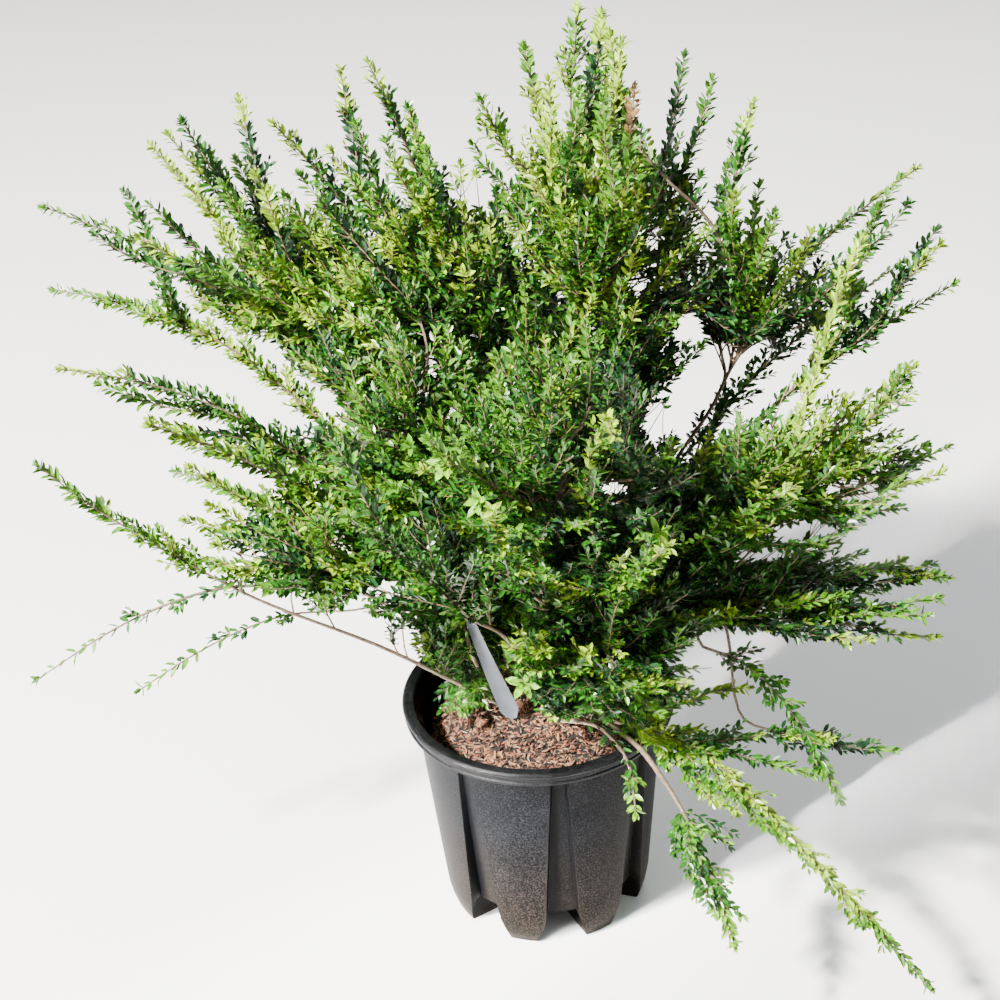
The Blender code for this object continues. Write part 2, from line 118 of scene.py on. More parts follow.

# Parts of the photographed crown with one tint more than others, as painted shade (deep) and painted light
# (fresh, bright): middle, half size, tint and share
TINT_PLACES = [
    (755, 298, 75, 48, "deep", 0.75), (650, 370, 55, 65, "deep", 0.60), (700, 500, 70, 45, "deep", 0.50),
    (860, 600, 90, 45, "deep", 0.55), (590, 610, 90, 70, "deep", 0.40), (420, 230, 40, 30, "deep", 0.50),
    (835, 430, 75, 50, "fresh", 0.60), (880, 400, 40, 40, "bright", 0.40), (590, 120, 70, 90, "fresh", 0.50),
    (240, 260, 110, 80, "fresh", 0.50), (700, 220, 40, 50, "fresh", 0.45), (300, 480, 80, 45, "fresh", 0.40),
    (590, 690, 90, 50, "deep", 0.50), (800, 480, 80, 50, "fresh", 0.45), (230, 240, 110, 80, "bright", 0.30),
    (470, 420, 120, 130, "mid", 0.50), (590, 110, 60, 90, "bright", 0.22), (900, 200, 60, 60, "bright", 0.35),
    (210, 460, 80, 50, "bright", 0.22),
]

# Places in the photograph where a spray ends in a large bright rosette, and how near to one it has to end
BRIGHT_TIPS = [
    (480, 508), (655, 545), (440, 463), (310, 468), (345, 462), (517, 668), (745, 402), (428, 440),
    (520, 480), (560, 545), (405, 300), (265, 270), (590, 240), (335, 515), (190, 290), (690, 545),
]
BRIGHT_REACH = 18

# The shoot that a packed stem carries, where it carries one
STEM_SHOOTS = {"stem_left": "shoot_left_low", "stem_right_low": "shoot_right_drooping"}

# Short sprays low round the stems: azimuths, reaches, heights and how many
SKIRT = [
    (-125, -72, 0.080, 0.135, 0.340, 0.430, 40),
    (-78, -50, 0.060, 0.115, 0.262, 0.300, 8),
    (-20, 60, 0.045, 0.110, 0.300, 0.380, 44),
    (60, 235, 0.050, 0.130, 0.290, 0.420, 80),
]

# Open sky between the sprays: middle and half size of each gap in the photograph
PICTURE_SIZE = 1000
SKY_GAPS = [
    (738, 382, 58, 40), (690, 408, 24, 38), (780, 402, 24, 18), (690, 326, 14, 16), (655, 425, 16, 20),
    (302, 404, 40, 24), (240, 348, 34, 13), (268, 372, 26, 14), (340, 545, 15, 9), (242, 557, 26, 9),
    (170, 618, 52, 16), (262, 608, 52, 17), (342, 632, 46, 24), (402, 666, 26, 20), (852, 490, 26, 14),
    (802, 530, 36, 11), (760, 556, 28, 8), (762, 660, 62, 24), (712, 655, 26, 22), (452, 416, 10, 8),
    (612, 488, 16, 10), (636, 285, 10, 15), (650, 240, 9, 14), (432, 368, 8, 14), (820, 680, 40, 26),
    (475, 195, 20, 14), (800, 345, 16, 24), (388, 585, 12, 8), (425, 395, 7, 8), (560, 300, 7, 9),
]

# The label's place in the photograph, which nothing grows in front of
LABEL_VIEW = [(512, 706, 15, 20), (500, 678, 15, 22), (488, 652, 13, 20), (476, 630, 10, 16)]

# Dips between two masses that are narrower than this are closed by foliage; places tried to find them
VALLEY_WIDTH = 0.026
VALLEY_TRIES = 9000

# Canes and sprays tried for each place, and how much of a spray may cross open sky
CANE_TRIES = 10
SPRAY_TRIES = 6
MOST_COVER = 0.28

# What a radian of bend costs, what a fork away from the wanted way costs, and the bend that is taken at once
BEND_COST = 0.08
TURN_COST = 0.25
EASY_BEND = 0.9

# How far canes lean out at first and how much wider their feet spread, in turn until the label is free
CANE_LEANS = ((0.5, 1), (0.2, 2), (0.0, 4), (-0.4, 6))

# Canes start this close to the pot's axis, or fork at least so far from where they enter a mass or shoot
STOOL_RADIUS = 0.045
FORK_GAP = 0.07
LEAST_AIM = 0.86

# How finely a limb wanders, how far apart the side twigs of a shoot are, and how many a spray has
WANDER_GRAIN = 14.0
SHOOT_TWIG_GAP = 0.0085
SPRAY_TWIGS = 5

# Chips and fibres on the compost: name, colour, share and slimness
CHIPS = [
    ("chips_tan", (0.24, 0.120, 0.060), 0.32, 0.34), ("chips_rose", (0.17, 0.055, 0.030), 0.26, 0.30),
    ("chips_dark", (0.022, 0.012, 0.008), 0.30, 0.36), ("fibres", (0.42, 0.28, 0.17), 0.14, 0.14),
]

# The label's widths at its foot and top, how far its face bows, and its thickness
LABEL_FOOT = 0.021
LABEL_TOP = 0.009
LABEL_BOW = 0.22
LABEL_SKIN = 0.0007

# Leaf tints: name, colour, roughness; deep, fresh and bright are also dealt out by place and by light as
# painted shade and painted light
TINTS = [
    ("deep", (0.006, 0.036, 0.009), 0.32),
    ("mid", (0.018, 0.100, 0.006), 0.34),
    ("fresh", (0.062, 0.188, 0.005), 0.36),
    ("bright", (0.215, 0.350, 0.008), 0.38),
    ("vivid", (0.125, 0.310, 0.003), 0.40),
    ("bronze", (0.155, 0.090, 0.025), 0.38),
]

# Strength of the leaves' sheen, where 0.5 is that of plain plastic
LEAF_GLOSS = 0.70

# Limits on the draw that gives a spray's tint where no place does, and what full light adds to two of them as
# painted light
BRONZE_LIMIT = 0.005
BRIGHT_LIGHT = 0.09
FRESH_LIMIT = 0.10
FRESH_LIGHT = 0.36
MID_LIMIT = 0.76

# Tints of the shoots' tips and how often each comes
TIP_TINTS = {"bright": 4, "fresh": 5, "mid": 2, "bronze": 0.3}

# Pairs of leaves in a rosette: how far they lean out in degrees, and their size
ROSETTE_PAIRS = ((62, 1.0), (42, 0.92), (24, 0.66))

# Lights: name, place, target, size, power, colour and spread in degrees
LIGHTS = [
    ("key_light", (-2.5, -1.9, 3.6), (0.0, 0.0, 0.5), 0.40, 1650.0, (1.0, 0.96, 0.89), 180.0),
    ("low_light", (-2.10, -1.70, 0.50), (0.0, 0.0, 0.11), 0.25, 7.0, (1.0, 0.98, 0.95), 9.0),
    ("fill_light", (2.4, -1.8, 1.6), (0.0, 0.0, 0.5), 1.8, 14.0, (0.95, 0.98, 1.0), 180.0),
    ("rim_light", (0.6, 2.4, 2.4), (0.0, 0.0, 0.5), 1.4, 40.0, (1.0, 1.0, 1.0), 180.0),
]
SKY_COLOUR = (0.93, 0.96, 1.0)
SKY_STRENGTH = 0.48
FLOOR_COLOUR = (0.92, 0.92, 0.92)
FLOOR_HALF = 12.0

# Tints that a side twig may take instead of its spray's, and how often it does
NEXT_TINTS = {"deep": ("mid", "mid"), "mid": ("deep", "fresh"), "fresh": ("mid", "bright"),
              "bright": ("fresh", "fresh"), "bronze": ("fresh", "mid")}
TWIG_CHANGE = 0.38


def around(azimuth, radius, height):
    """The point at an azimuth in degrees, a distance from the pot's axis and a height."""
    turn = math.radians(azimuth)
    return Vector((radius * math.sin(turn), -radius * math.cos(turn), height))


def between(low, high, part):
    """The value a part of the way from low to high."""
    return low + (high - low) * part


def off_middle(spot, x, y, wide, high):
    """How far a place in the photograph is from an oval's middle: below 1 inside it."""
    return ((spot[0] - x) / wide) ** 2 + ((spot[1] - y) / high) ** 2


def side_ways(ahead):
    """The directions across and above a way of growth."""
    across = ahead.cross(UP)
    across = across.normalized() if across.length > 0.15 else Vector((1.0, 0.0, 0.0))
    return across, across.cross(ahead)


def ring_faces(rows, count, first=0):
    """The faces between rings of points that follow each other."""
    return [(first + k * count + i, first + k * count + (i + 1) % count,
             first + (k + 1) * count + (i + 1) % count, first + (k + 1) * count + i)
            for k in range(rows - 1) for i in range(count)]


def corners(node):
    """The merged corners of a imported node."""
    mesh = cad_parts[node].data
    found = np.empty(len(mesh.vertices) * 3, np.float32)
    mesh.vertices.foreach_get("co", found)
    return np.unique(np.round(found.reshape(-1, 3).astype(float), 5), axis=0)


class Sight:
    """Where things stand in the photograph, by the camera's place, turn and lens."""

    def __init__(self, settings):
        yaw, pitch, roll = settings.camera_yaw, settings.camera_pitch, settings.camera_roll
        ahead = Vector((math.sin(yaw) * math.cos(pitch), math.cos(yaw) * math.cos(pitch), math.sin(pitch)))
        right = ahead.cross(UP).normalized()
        above = right.cross(ahead)
        side = right * math.cos(roll) + above * math.sin(roll)
        top = above * math.cos(roll) - right * math.sin(roll)
        self.turn = Matrix((side, top, -ahead)).transposed()
        self.back_turn = self.turn.transposed()
        self.eye = Vector((0.0, -settings.camera_distance, settings.camera_height))
        self.reach = settings.camera_lens / 36.0 * PICTURE_SIZE

    def picture(self, point):
        """Across and down in the photograph."""
        seen = self.back_turn @ (point - self.eye)
        return (PICTURE_SIZE / 2 + self.reach * seen.x / -seen.z,
                PICTURE_SIZE / 2 - self.reach * seen.y / -seen.z)

    def point(self, across, down, behind):
        """The point seen at a place in the photograph, so far behind the pot's axis."""
        way = self.turn @ Vector((across - PICTURE_SIZE / 2, PICTURE_SIZE / 2 - down, -self.reach))
        return self.eye + way * ((behind - self.eye.y) / way.y)


class PotSettings(bpy.types.PropertyGroup):
    """Sizes and finish of the pot and what is in it."""

    wall: bpy.props.FloatProperty(
        name="Wall", description="Thickness of the pot's wall", default=0.0024, unit="LENGTH")
    panels: bpy.props.IntProperty(
        name="Panels", description="Panels round the pot, with a channel before each", default=8)
    colour: bpy.props.FloatVectorProperty(
        name="Plastic", description="Colour of the moulded plastic", default=(0.0006, 0.0007, 0.0010),
        subtype="COLOR")
    dust: bpy.props.FloatVectorProperty(
        name="Dust", description="Colour of the pale specks on the plastic", default=(0.0125, 0.0130, 0.0148),
        subtype="COLOR")
    low_dust: bpy.props.FloatVectorProperty(
        name="Low dust", description="Colour of the dust near the feet", default=(0.0300, 0.0210, 0.0140),
        subtype="COLOR")
    compost: bpy.props.FloatVectorProperty(
        name="Compost", description="Colour of the bark compost", default=(0.0040, 0.0022, 0.0015),
        subtype="COLOR")
    label: bpy.props.FloatVectorProperty(
        name="Label", description="Colour of the blank label", default=(0.048, 0.055, 0.066),
        subtype="COLOR")
    chips: bpy.props.IntProperty(
        name="Chips", description="Loose bark chips on the compost", default=6500)
    chip_length: bpy.props.FloatProperty(
        name="Chip length", description="Length of a typical chip", default=0.0058, unit="LENGTH")


class ShrubSettings(bpy.types.PropertyGroup):
    """Sizes that the branching rule works with."""

    seed: bpy.props.IntProperty(name="Seed", description="Seed of the branching rule", default=13)
    leaf_length: bpy.props.FloatProperty(
        name="Leaf length", description="Length of a full-grown leaf", default=0.0121, unit="LENGTH")
    leaf_spacing: bpy.props.FloatProperty(
        name="Pair spacing", description="Distance between leaf pairs", default=0.0060, unit="LENGTH")
    twig_spacing: bpy.props.FloatProperty(
        name="Twig spacing", description="Distance between twig tips", default=0.0255, unit="LENGTH")
    bark: bpy.props.FloatVectorProperty(
        name="Bark", description="Colour of the bare stems", default=(0.125, 0.085, 0.055), subtype="COLOR")
    green_bark: bpy.props.FloatVectorProperty(
        name="Green bark", description="Colour of the youngest twigs", default=(0.20, 0.135, 0.075),
        subtype="COLOR")


class StageSettings(bpy.types.PropertyGroup):
    """Camera and light."""

    camera_distance: bpy.props.FloatProperty(
        name="Camera distance", description="How far in front of the pot the camera stands",
        default=1.7194, unit="LENGTH")
    camera_height: bpy.props.FloatProperty(
        name="Camera height", description="Height of the camera", default=1.5118, unit="LENGTH")
    camera_yaw: bpy.props.FloatProperty(
        name="Yaw", description="Turn of the camera to the right", default=math.radians(-0.935),
        subtype="ANGLE")
    camera_pitch: bpy.props.FloatProperty(
        name="Pitch", description="Tilt of the camera", default=math.radians(-30.630), subtype="ANGLE")
    camera_roll: bpy.props.FloatProperty(
        name="Roll", description="Roll of the camera", default=math.radians(-3.515), subtype="ANGLE")
    camera_lens: bpy.props.FloatProperty(
        name="Lens", description="Focal length on a 36 mm sensor, in millimetres", default=72.0)


def add_node(tree, kind, inputs=(), **options):
    """A new node with its options, its inputs set to values or linked to other nodes' outputs."""
    node = tree.nodes.new(kind)
    for name, value in options.items():
        setattr(node, name, value)
    for name, value in dict(inputs).items():
        if isinstance(value, bpy.types.NodeSocket):
            tree.links.new(value, node.inputs[name])
        else:
            node.inputs[name].default_value = value
    return node


def make_finish(name, colour, roughness, variation=0.0, grain=100.0, bump=0.0, depth=0.0005):
    """A Principled material whose colour and bump vary with noise on Object coordinates."""
    material = bpy.data.materials.new(name)
    material.use_nodes = True
    tree = material.node_tree
    shader = tree.nodes["Principled BSDF"]
    shader.inputs["Base Color"].default_value = (*colour, 1.0)
    shader.inputs["Roughness"].default_value = roughness
    place = add_node(tree, "ShaderNodeTexCoord")
    grit = add_node(tree, "ShaderNodeTexNoise", {
        "Vector": place.outputs["Object"], "Scale": grain, "Detail": 4.0})
    if variation > 0.0:
        ramp = add_node(tree, "ShaderNodeValToRGB", {"Fac": grit.outputs["Fac"]})
        low, high = ramp.color_ramp.elements
        low.position, high.position = 0.32, 0.68
        low.color = (*[c * (1.0 - variation) for c in colour], 1.0)
        high.color = (*[min(1.0, c * (1.0 + variation)) for c in colour], 1.0)
        tree.links.new(ramp.outputs["Color"], shader.inputs["Base Color"])
    if bump > 0.0:
        relief = add_node(tree, "ShaderNodeBump", {
            "Strength": bump, "Distance": depth, "Height": grit.outputs["Fac"]})
        tree.links.new(relief.outputs["Normal"], shader.inputs["Normal"])
    return material


def add_mesh(name, points, faces, smooth=True):
    """A mesh object in the scene."""
    mesh = bpy.data.meshes.new(name)
    mesh.from_pydata([tuple(point) for point in points], [], faces)
    mesh.update()
    if smooth:
        mesh.shade_smooth()
    obj = bpy.data.objects.new(name, mesh)
    bpy.context.scene.collection.objects.link(obj)
    return obj


def settle(piece, nodes=()):
    """Let a finished piece ride on the plant's one body and in place of its nodes."""
    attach(piece, "root")
    if nodes:
        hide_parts(*nodes)
    return piece


def point_cloud(name, rows):
    """Bare points that carry a facing, an upward direction and a length each."""
    table = np.array(rows, np.float32)
    cloud = add_mesh(name, table[:, 0:3].tolist(), [], False)
    for label, kind, field, columns in (("facing", "FLOAT_VECTOR", "vector", slice(3, 6)),
                                        ("upward", "FLOAT_VECTOR", "vector", slice(6, 9)),
                                        ("length", "FLOAT", "value", slice(9, 10))):
        attribute = cloud.data.attributes.new(label, kind, "POINT")
        attribute.data.foreach_set(field, np.ascontiguousarray(table[:, columns]).ravel())
    return cloud


def chord_way(line):
    """The direction from a line's start to its end."""
    return (line[-1] - line[0]).normalized()


def new_tree(name, inputs):
    """An empty Geometry Nodes tree with named inputs, which returns its two ends as well."""
    tree = bpy.data.node_groups.new(name, "GeometryNodeTree")
    tree.interface.new_socket("Geometry", in_out="INPUT", socket_type="NodeSocketGeometry")
    for label, kind, default in inputs:
        socket = tree.interface.new_socket(label, in_out="INPUT", socket_type=kind)
        if default is not None:
            socket.default_value = default
    tree.interface.new_socket("Geometry", in_out="OUTPUT", socket_type="NodeSocketGeometry")
    return tree, tree.nodes.new("NodeGroupInput"), tree.nodes.new("NodeGroupOutput")


def close_tree(tree, geometry, start, end):
    """End a tree in real geometry with its finish on it."""
    real = add_node(tree, "GeometryNodeRealizeInstances", {"Geometry": geometry})
    finish = add_node(tree, "GeometryNodeSetMaterial", {
        "Geometry": real.outputs["Geometry"], "Material": start.outputs["Finish"]})
    tree.links.new(finish.outputs["Geometry"], end.inputs["Geometry"])


def placing_tree():
    """Put a copy of an object on every point, along its facing and upward attributes, at its length."""
    tree, start, end = new_tree("place_on_points", [
        ("Copy", "NodeSocketObject", None),
        ("Finish", "NodeSocketMaterial", None),
    ])
    facing = add_node(tree, "GeometryNodeInputNamedAttribute", {"Name": "facing"}, data_type="FLOAT_VECTOR")
    upward = add_node(tree, "GeometryNodeInputNamedAttribute", {"Name": "upward"}, data_type="FLOAT_VECTOR")
    length = add_node(tree, "GeometryNodeInputNamedAttribute", {"Name": "length"}, data_type="FLOAT")
    turn = add_node(tree, "FunctionNodeAxesToRotation", {
        "Primary Axis": facing.outputs["Attribute"], "Secondary Axis": upward.outputs["Attribute"],
    }, primary_axis="X", secondary_axis="Z")
    copy = add_node(tree, "GeometryNodeObjectInfo", {"As Instance": True, "Object": start.outputs["Copy"]})
    spread = add_node(tree, "GeometryNodeInstanceOnPoints", {
        "Points": start.outputs["Geometry"], "Instance": copy.outputs["Geometry"],
        "Rotation": turn.outputs["Rotation"], "Scale": length.outputs["Attribute"]})
    close_tree(tree, spread.outputs["Instances"], start, end)
    return tree


def tube_tree():
    """A tube along every path, as thick as the path's own radius, with bark relief on its skin."""
    tree, start, end = new_tree("bark_tube", [
        ("Sides", "NodeSocketInt", 6),
        ("Relief", "NodeSocketFloat", 0.0003),
        ("Relief size", "NodeSocketFloat", 400.0),
        ("Finish", "NodeSocketMaterial", None),
    ])
    ring = add_node(tree, "GeometryNodeCurvePrimitiveCircle", {
        "Radius": 1.0, "Resolution": start.outputs["Sides"]})
    radius = add_node(tree, "GeometryNodeInputRadius")
    tube = add_node(tree, "GeometryNodeCurveToMesh", {
        "Fill Caps": True, "Curve": start.outputs["Geometry"], "Profile Curve": ring.outputs["Curve"],
        "Scale": radius.outputs["Radius"]})
    grit = add_node(tree, "ShaderNodeTexNoise", {"Scale": start.outputs["Relief size"]})
    centred = add_node(tree, "ShaderNodeMath", {0: grit.outputs["Fac"], 1: 0.5}, operation="SUBTRACT")
    high = add_node(tree, "ShaderNodeMath", {
        0: centred.outputs["Value"], 1: start.outputs["Relief"]}, operation="MULTIPLY")
    normal = add_node(tree, "GeometryNodeInputNormal")
    offset = add_node(tree, "ShaderNodeVectorMath", operation="SCALE")
    tree.links.new(normal.outputs["Normal"], offset.inputs["Vector"])
    tree.links.new(high.outputs["Value"], offset.inputs["Scale"])
    moved = add_node(tree, "GeometryNodeSetPosition", {
        "Geometry": tube.outputs["Mesh"], "Offset": offset.outputs["Vector"]})
    smooth = add_node(tree, "GeometryNodeSetShadeSmooth", {"Geometry": moved.outputs["Geometry"]})
    close_tree(tree, smooth.outputs["Geometry"], start, end)
    return tree


def run_tree(source, tree, values, name):
    """Evaluate a tree on an object and keep the result as a plain mesh object of that name."""
    modifier = source.modifiers.new("Geometry", "NODES")
    modifier.node_group = tree
    for item in tree.interface.items_tree:
        if item.in_out == "INPUT" and item.name in values:
            modifier[item.identifier] = values[item.name]
    source.update_tag()
    bpy.context.view_layer.update()
    depsgraph = bpy.context.evaluated_depsgraph_get()
    mesh = bpy.data.meshes.new_from_object(source.evaluated_get(depsgraph), depsgraph=depsgraph)
    bpy.data.objects.remove(source, do_unlink=True)
    if len(mesh.polygons) == 0:
        raise RuntimeError(f"{name} came out empty")
    mesh.name = name
    piece = bpy.data.objects.new(name, mesh)
    bpy.context.scene.collection.objects.link(piece)
    return piece


def curve_line(start, leave, end, arrive, count, rng=None, sway=0.0):
    """A cubic from start to end with its two end directions, swaying a little in between."""
    reach = (end - start).length
    first = start + leave.normalized() * (reach / 3)
    second = end - arrive.normalized() * (reach / 3)
    shift = Vector() if rng is None else Vector([rng.uniform(-50, 50) for _ in range(3)])
    line = []
    for i in range(count):
        part = i / (count - 1)
        rest = 1.0 - part
        point = (start * rest ** 3 + first * (3 * part * rest ** 2)
                 + second * (3 * part ** 2 * rest) + end * part ** 3)
        if sway > 0.0:
            drift = noise.noise_vector(point * WANDER_GRAIN + shift)
            point = point + drift * (sway * math.sin(math.pi * part))
        line.append(point)
    return line


def spindle(node):
    """The middle line of a packed shoot or stem, from its start to its tip, and its girth."""
    points = corners(node)
    reach = np.linalg.norm(points - np.array(STOOL), axis=1)
    start, tip = points[reach.argmin()], points[reach.argmax()]
    chord = tip - start
    along = (points - start) @ chord / (chord @ chord)
    line = [start]
    girth = 0.0
    for low, high in ((0.12, 0.38), (0.38, 0.62), (0.62, 0.88)):
        band = points[(along >= low) & (along < high)]
        if len(band) > 3:
            line.append(band.mean(0))
            girth = max(girth, np.linalg.norm(band - band.mean(0), axis=1).mean())
    line.append(tip)
    return [Vector(point) for point in line], girth


def smooth_line(points, step):
    """A Catmull-Rom curve through points, with a point every step."""
    line = []
    padded = [2 * points[0] - points[1]] + list(points) + [2 * points[-1] - points[-2]]
    for a, b, c, d in zip(padded, padded[1:], padded[2:], padded[3:]):
        count = max(1, round((c - b).length / step))
        for i in range(count):
            t = i / count
            line.append(0.5 * (2 * b + (c - a) * t + (2 * a - 5 * b + 4 * c - d) * t ** 2
                               + (3 * b - a - 3 * c + d) * t ** 3))
    line.append(points[-1].copy())
    return line


class Shrub:
    """The limbs and leaves of the plant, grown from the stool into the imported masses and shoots."""

    def __init__(self, settings, sight):
        self.seed = settings.seed
        self.rng = random.Random()
        noise.seed_set(settings.seed)
        self.sight = sight
        self.guarded = False
        self.bright_tips = list(BRIGHT_TIPS)
        self.label_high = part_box("label")[1]
        self.leaf_length = settings.leaf_length
        self.leaf_spacing = settings.leaf_spacing
        self.twig_spacing = settings.twig_spacing
        self.limbs = {"canes": [], "boughs": [], "twigs": [], "side_twigs": []}
        self.leaves = {name: [] for name, _, _ in TINTS}
        self.solids = {name: self.solid(name) for name in LOBES}
        self.joints = []
        self.free = {}
        for node in SHOOTS:
            line, girth = spindle(node)
            self.free[node] = (smooth_line(line, 0.006), girth)
        lines = [line for line, _ in self.free.values()]
        self.flow_points = np.array([line[i] for line in lines for i in range(0, len(line) - 1, 3)])
        self.flow_ways = np.array([(line[i + 1] - line[i]).normalized() for line in lines
                                   for i in range(0, len(line) - 1, 3)])

    @staticmethod
    def solid(node):
        """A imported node's skin, for finding how far a point is from it."""
        shape = bmesh.new()
        shape.from_mesh(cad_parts[node].data)
        bmesh.ops.remove_doubles(shape, verts=shape.verts, dist=0.00001)
        tree = BVHTree.FromBMesh(shape)
        shape.free()
        return tree

    @staticmethod
    def depth(tree, point):
        """How deep a point lies in a solid; negative outside it."""
        near, normal, _, distance = tree.find_nearest(point)
        return distance if (point - near).dot(normal) < 0.0 else -distance

    def restart(self, *step):
        """Start the random draws of one step anew, so that no other step changes them."""
        self.rng.seed(" ".join(str(word) for word in (self.seed, *step)))

    def jitter(self, spread):
        """A small random vector."""
        return Vector([self.rng.gauss(0.0, spread) for _ in range(3)])

    def flow(self, point):
        """The way shoots grow at a place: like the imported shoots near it, and away from the stool."""
        away = ((self.flow_points - np.array(point)) ** 2).sum(1)
        weight = 1.0 / (away + 0.003)
        lead = Vector((self.flow_ways * weight[:, None]).sum(0)).normalized()
        return (lead * 0.7 + (point - STOOL).normalized() * 0.5 + UP * 0.12).normalized()

    def limb(self, kind, line, thick, thin):
        """Keep a limb that thins evenly along its line."""
        last = len(line) - 1
        self.limbs[kind].append((line, [between(thick, thin, i / last) for i in range(last + 1)]))

    def add_joints(self, line, first, last):
        """Let later limbs start from a stretch of this one."""
        low, high = int(first * (len(line) - 1)), int(last * (len(line) - 1))
        self.joints += [(line[i], (line[i + 1] - line[i]).normalized()) for i in range(low, high)]

    def leaf(self, tint, point, facing, upward, length):
        """Keep a leaf, unless it closes a gap in the crown or hides the label."""
        if not (self.guarded and self.in_gap(point)) and not self.before_label(point):
            self.leaves[tint].append((*point, *facing, *upward, length))

    def in_gap(self, point):
        """Whether a place lies where the photograph shows sky through the crown."""
        spot = self.sight.picture(point)
        ragged = self.rng.uniform(0.8, 1.1)
        return any(off_middle(spot, *gap) < ragged for gap in SKY_GAPS)

    def before_label(self, point):
        """Whether a place would hide the label from the camera."""
        if point.z > self.label_high.z + 0.05 or point.y > self.label_high.y:
            return False
        spot = self.sight.picture(point)
        return any(off_middle(spot, *part) < 1.0 for part in LABEL_VIEW)

    def cover(self, line):
        """How much of a line crosses open sky or hides the label."""
        crossing = sum(self.in_gap(point) + 5 * self.before_label(point) for point in line[1:])
        return crossing / len(line)

    def clothe(self, line, bare, largest, tint, tip_tint=None, tip_part=0.75, gap=1.0):
        """Opposite pairs of leaves along a line beyond its bare part, smaller towards the tip."""
        rng = self.rng
        lengths = [0.0]
        for a, b in zip(line, line[1:]):
            lengths.append(lengths[-1] + (b - a).length)
        total = lengths[-1]
        at = max(total * bare, self.leaf_spacing * 0.5)
        index = 0
        pair = rng.randrange(2)
        while at < total - 0.002:
            while index < len(line) - 2 and lengths[index + 1] < at:
                index += 1
            share = (at - lengths[index]) / max(1e-6, lengths[index + 1] - lengths[index])
            point = line[index].lerp(line[index + 1], share)
            ahead = (line[index + 1] - line[index]).normalized()
            across, upward = side_ways(ahead)
            upward.normalize()
            lying = math.sqrt(max(0.0, 1.0 - ahead.z ** 2))
            pair += 1
            twist = (pair % 2) * math.pi / 2 * (1.0 - 0.6 * lying) + rng.gauss(0.0, 0.32)
            part = at / total
            grown = min(1.0, 0.72 + 1.2 * part, 0.62 + 2.4 * (1.0 - part))
            shade = tip_tint if tip_tint and part > tip_part else tint
            for side in (-1, 1):
                spread = math.radians(rng.uniform(26, 56))
                outward = (across * math.cos(twist) + upward * math.sin(twist)) * side
                facing = ahead * math.cos(spread) + outward * math.sin(spread) + self.jitter(0.10)
                above = upward * 0.8 + UP * 0.5 + ahead * 0.25 + self.jitter(0.30)
                length = largest * grown * rng.uniform(0.78, 1.14)
                self.leaf(shade, point + outward * 0.0006, facing, above, length)
            at += self.leaf_spacing * gap * rng.uniform(0.78, 1.2) * (0.6 + 0.4 * grown)
        ahead = (line[-1] - line[-2]).normalized()
        for _ in range(2):
            length = largest * rng.uniform(0.55, 0.75)
            self.leaf(tip_tint or tint, line[-1], ahead + self.jitter(0.22), UP + self.jitter(0.4), length)

    def side_twig(self, line, part, length, tint, tip_tint=None):
        """A short leafy twig that leaves a line at an angle and bends forwards."""
        rng = self.rng
        index = min(len(line) - 2, int(part * (len(line) - 1)))
        start = line[index]
        ahead = (line[index + 1] - line[index]).normalized()
        across, upward = side_ways(ahead)
        turn = rng.choice((0.0, math.pi)) + rng.gauss(0.0, 0.6)
        outward = across * math.cos(turn) + upward * math.sin(turn)
        lead = (ahead * 0.9 + outward).normalized()
        end = start + (lead + UP * 0.18 + ahead * 0.35).normalized() * length
        if self.guarded and self.in_gap(end):
            return
        if rng.random() < TWIG_CHANGE:
            tint = rng.choice(NEXT_TINTS[tint])
        twig = curve_line(start, lead, end, lead + ahead * 0.7 + UP * 0.2, 3)
        self.limb("side_twigs", twig, 0.0007, 0.0004)
        self.clothe(twig, 0.08, self.leaf_length * 0.90, tint, tip_tint)

    def tint(self, point, painted_light):
        """The tint of a whole spray, painted light and shade: by its place, and more often fresh where the
        light reaches it.
        """
        spot = self.sight.picture(point)
        for *oval, name, share in TINT_PLACES:
            if off_middle(spot, *oval) < 1.0 and self.rng.random() < share:
                return name
        draw = self.rng.random()
        if draw < BRONZE_LIMIT:
            return "bronze"
        if draw < BRONZE_LIMIT + BRIGHT_LIGHT * painted_light:
            return "bright"
        if draw < FRESH_LIMIT + FRESH_LIGHT * painted_light:
            return "fresh"
        return "mid" if draw < MID_LIMIT else "deep"

    def rise(self, start, arrive, spread, reach, lean):
        """A cane's first stretch, from the stool or forking off a cane that already goes that way."""
        rng = self.rng
        best, joint = LEAST_AIM, None
        for point, ahead in self.joints:
            if math.hypot(point.x, point.y) > 0.05 and point.xy.normalized().dot(start.xy.normalized()) < 0.8:
                continue
            gap = start - point
            if FORK_GAP < gap.length < reach:
                way = gap.normalized()
                aim = way.dot(ahead) - 0.25 * gap.length / reach + rng.uniform(-0.06, 0.06)
                aim -= TURN_COST * (1.0 - way.dot(arrive))
                if aim > best - 0.2 * (gap.length < 0.16):
                    best, joint = aim, (point, ahead)
        if joint is None:
            azimuth = math.degrees(math.atan2(start.x, -start.y)) + rng.uniform(-spread, spread)
            foot = around(azimuth, STOOL_RADIUS * rng.uniform(0.5, 1.0), SOIL_TOP - 0.006)
            flat = Vector((start.x, start.y, 0.0))
            flat = flat.normalized() if flat.length > 0.02 else Vector((0.0, 0.3, 0.0))
            return foot, flat * lean + UP, rng.uniform(0.0022, 0.0034)
        return joint[0], joint[1], rng.uniform(0.0013, 0.0019)

    @staticmethod
    def bend(line):
        """How far a line turns in all, in radians."""
        ways = [b - a for a, b in zip(line, line[1:])]
        return sum(a.angle(b) for a, b in zip(ways, ways[1:]))

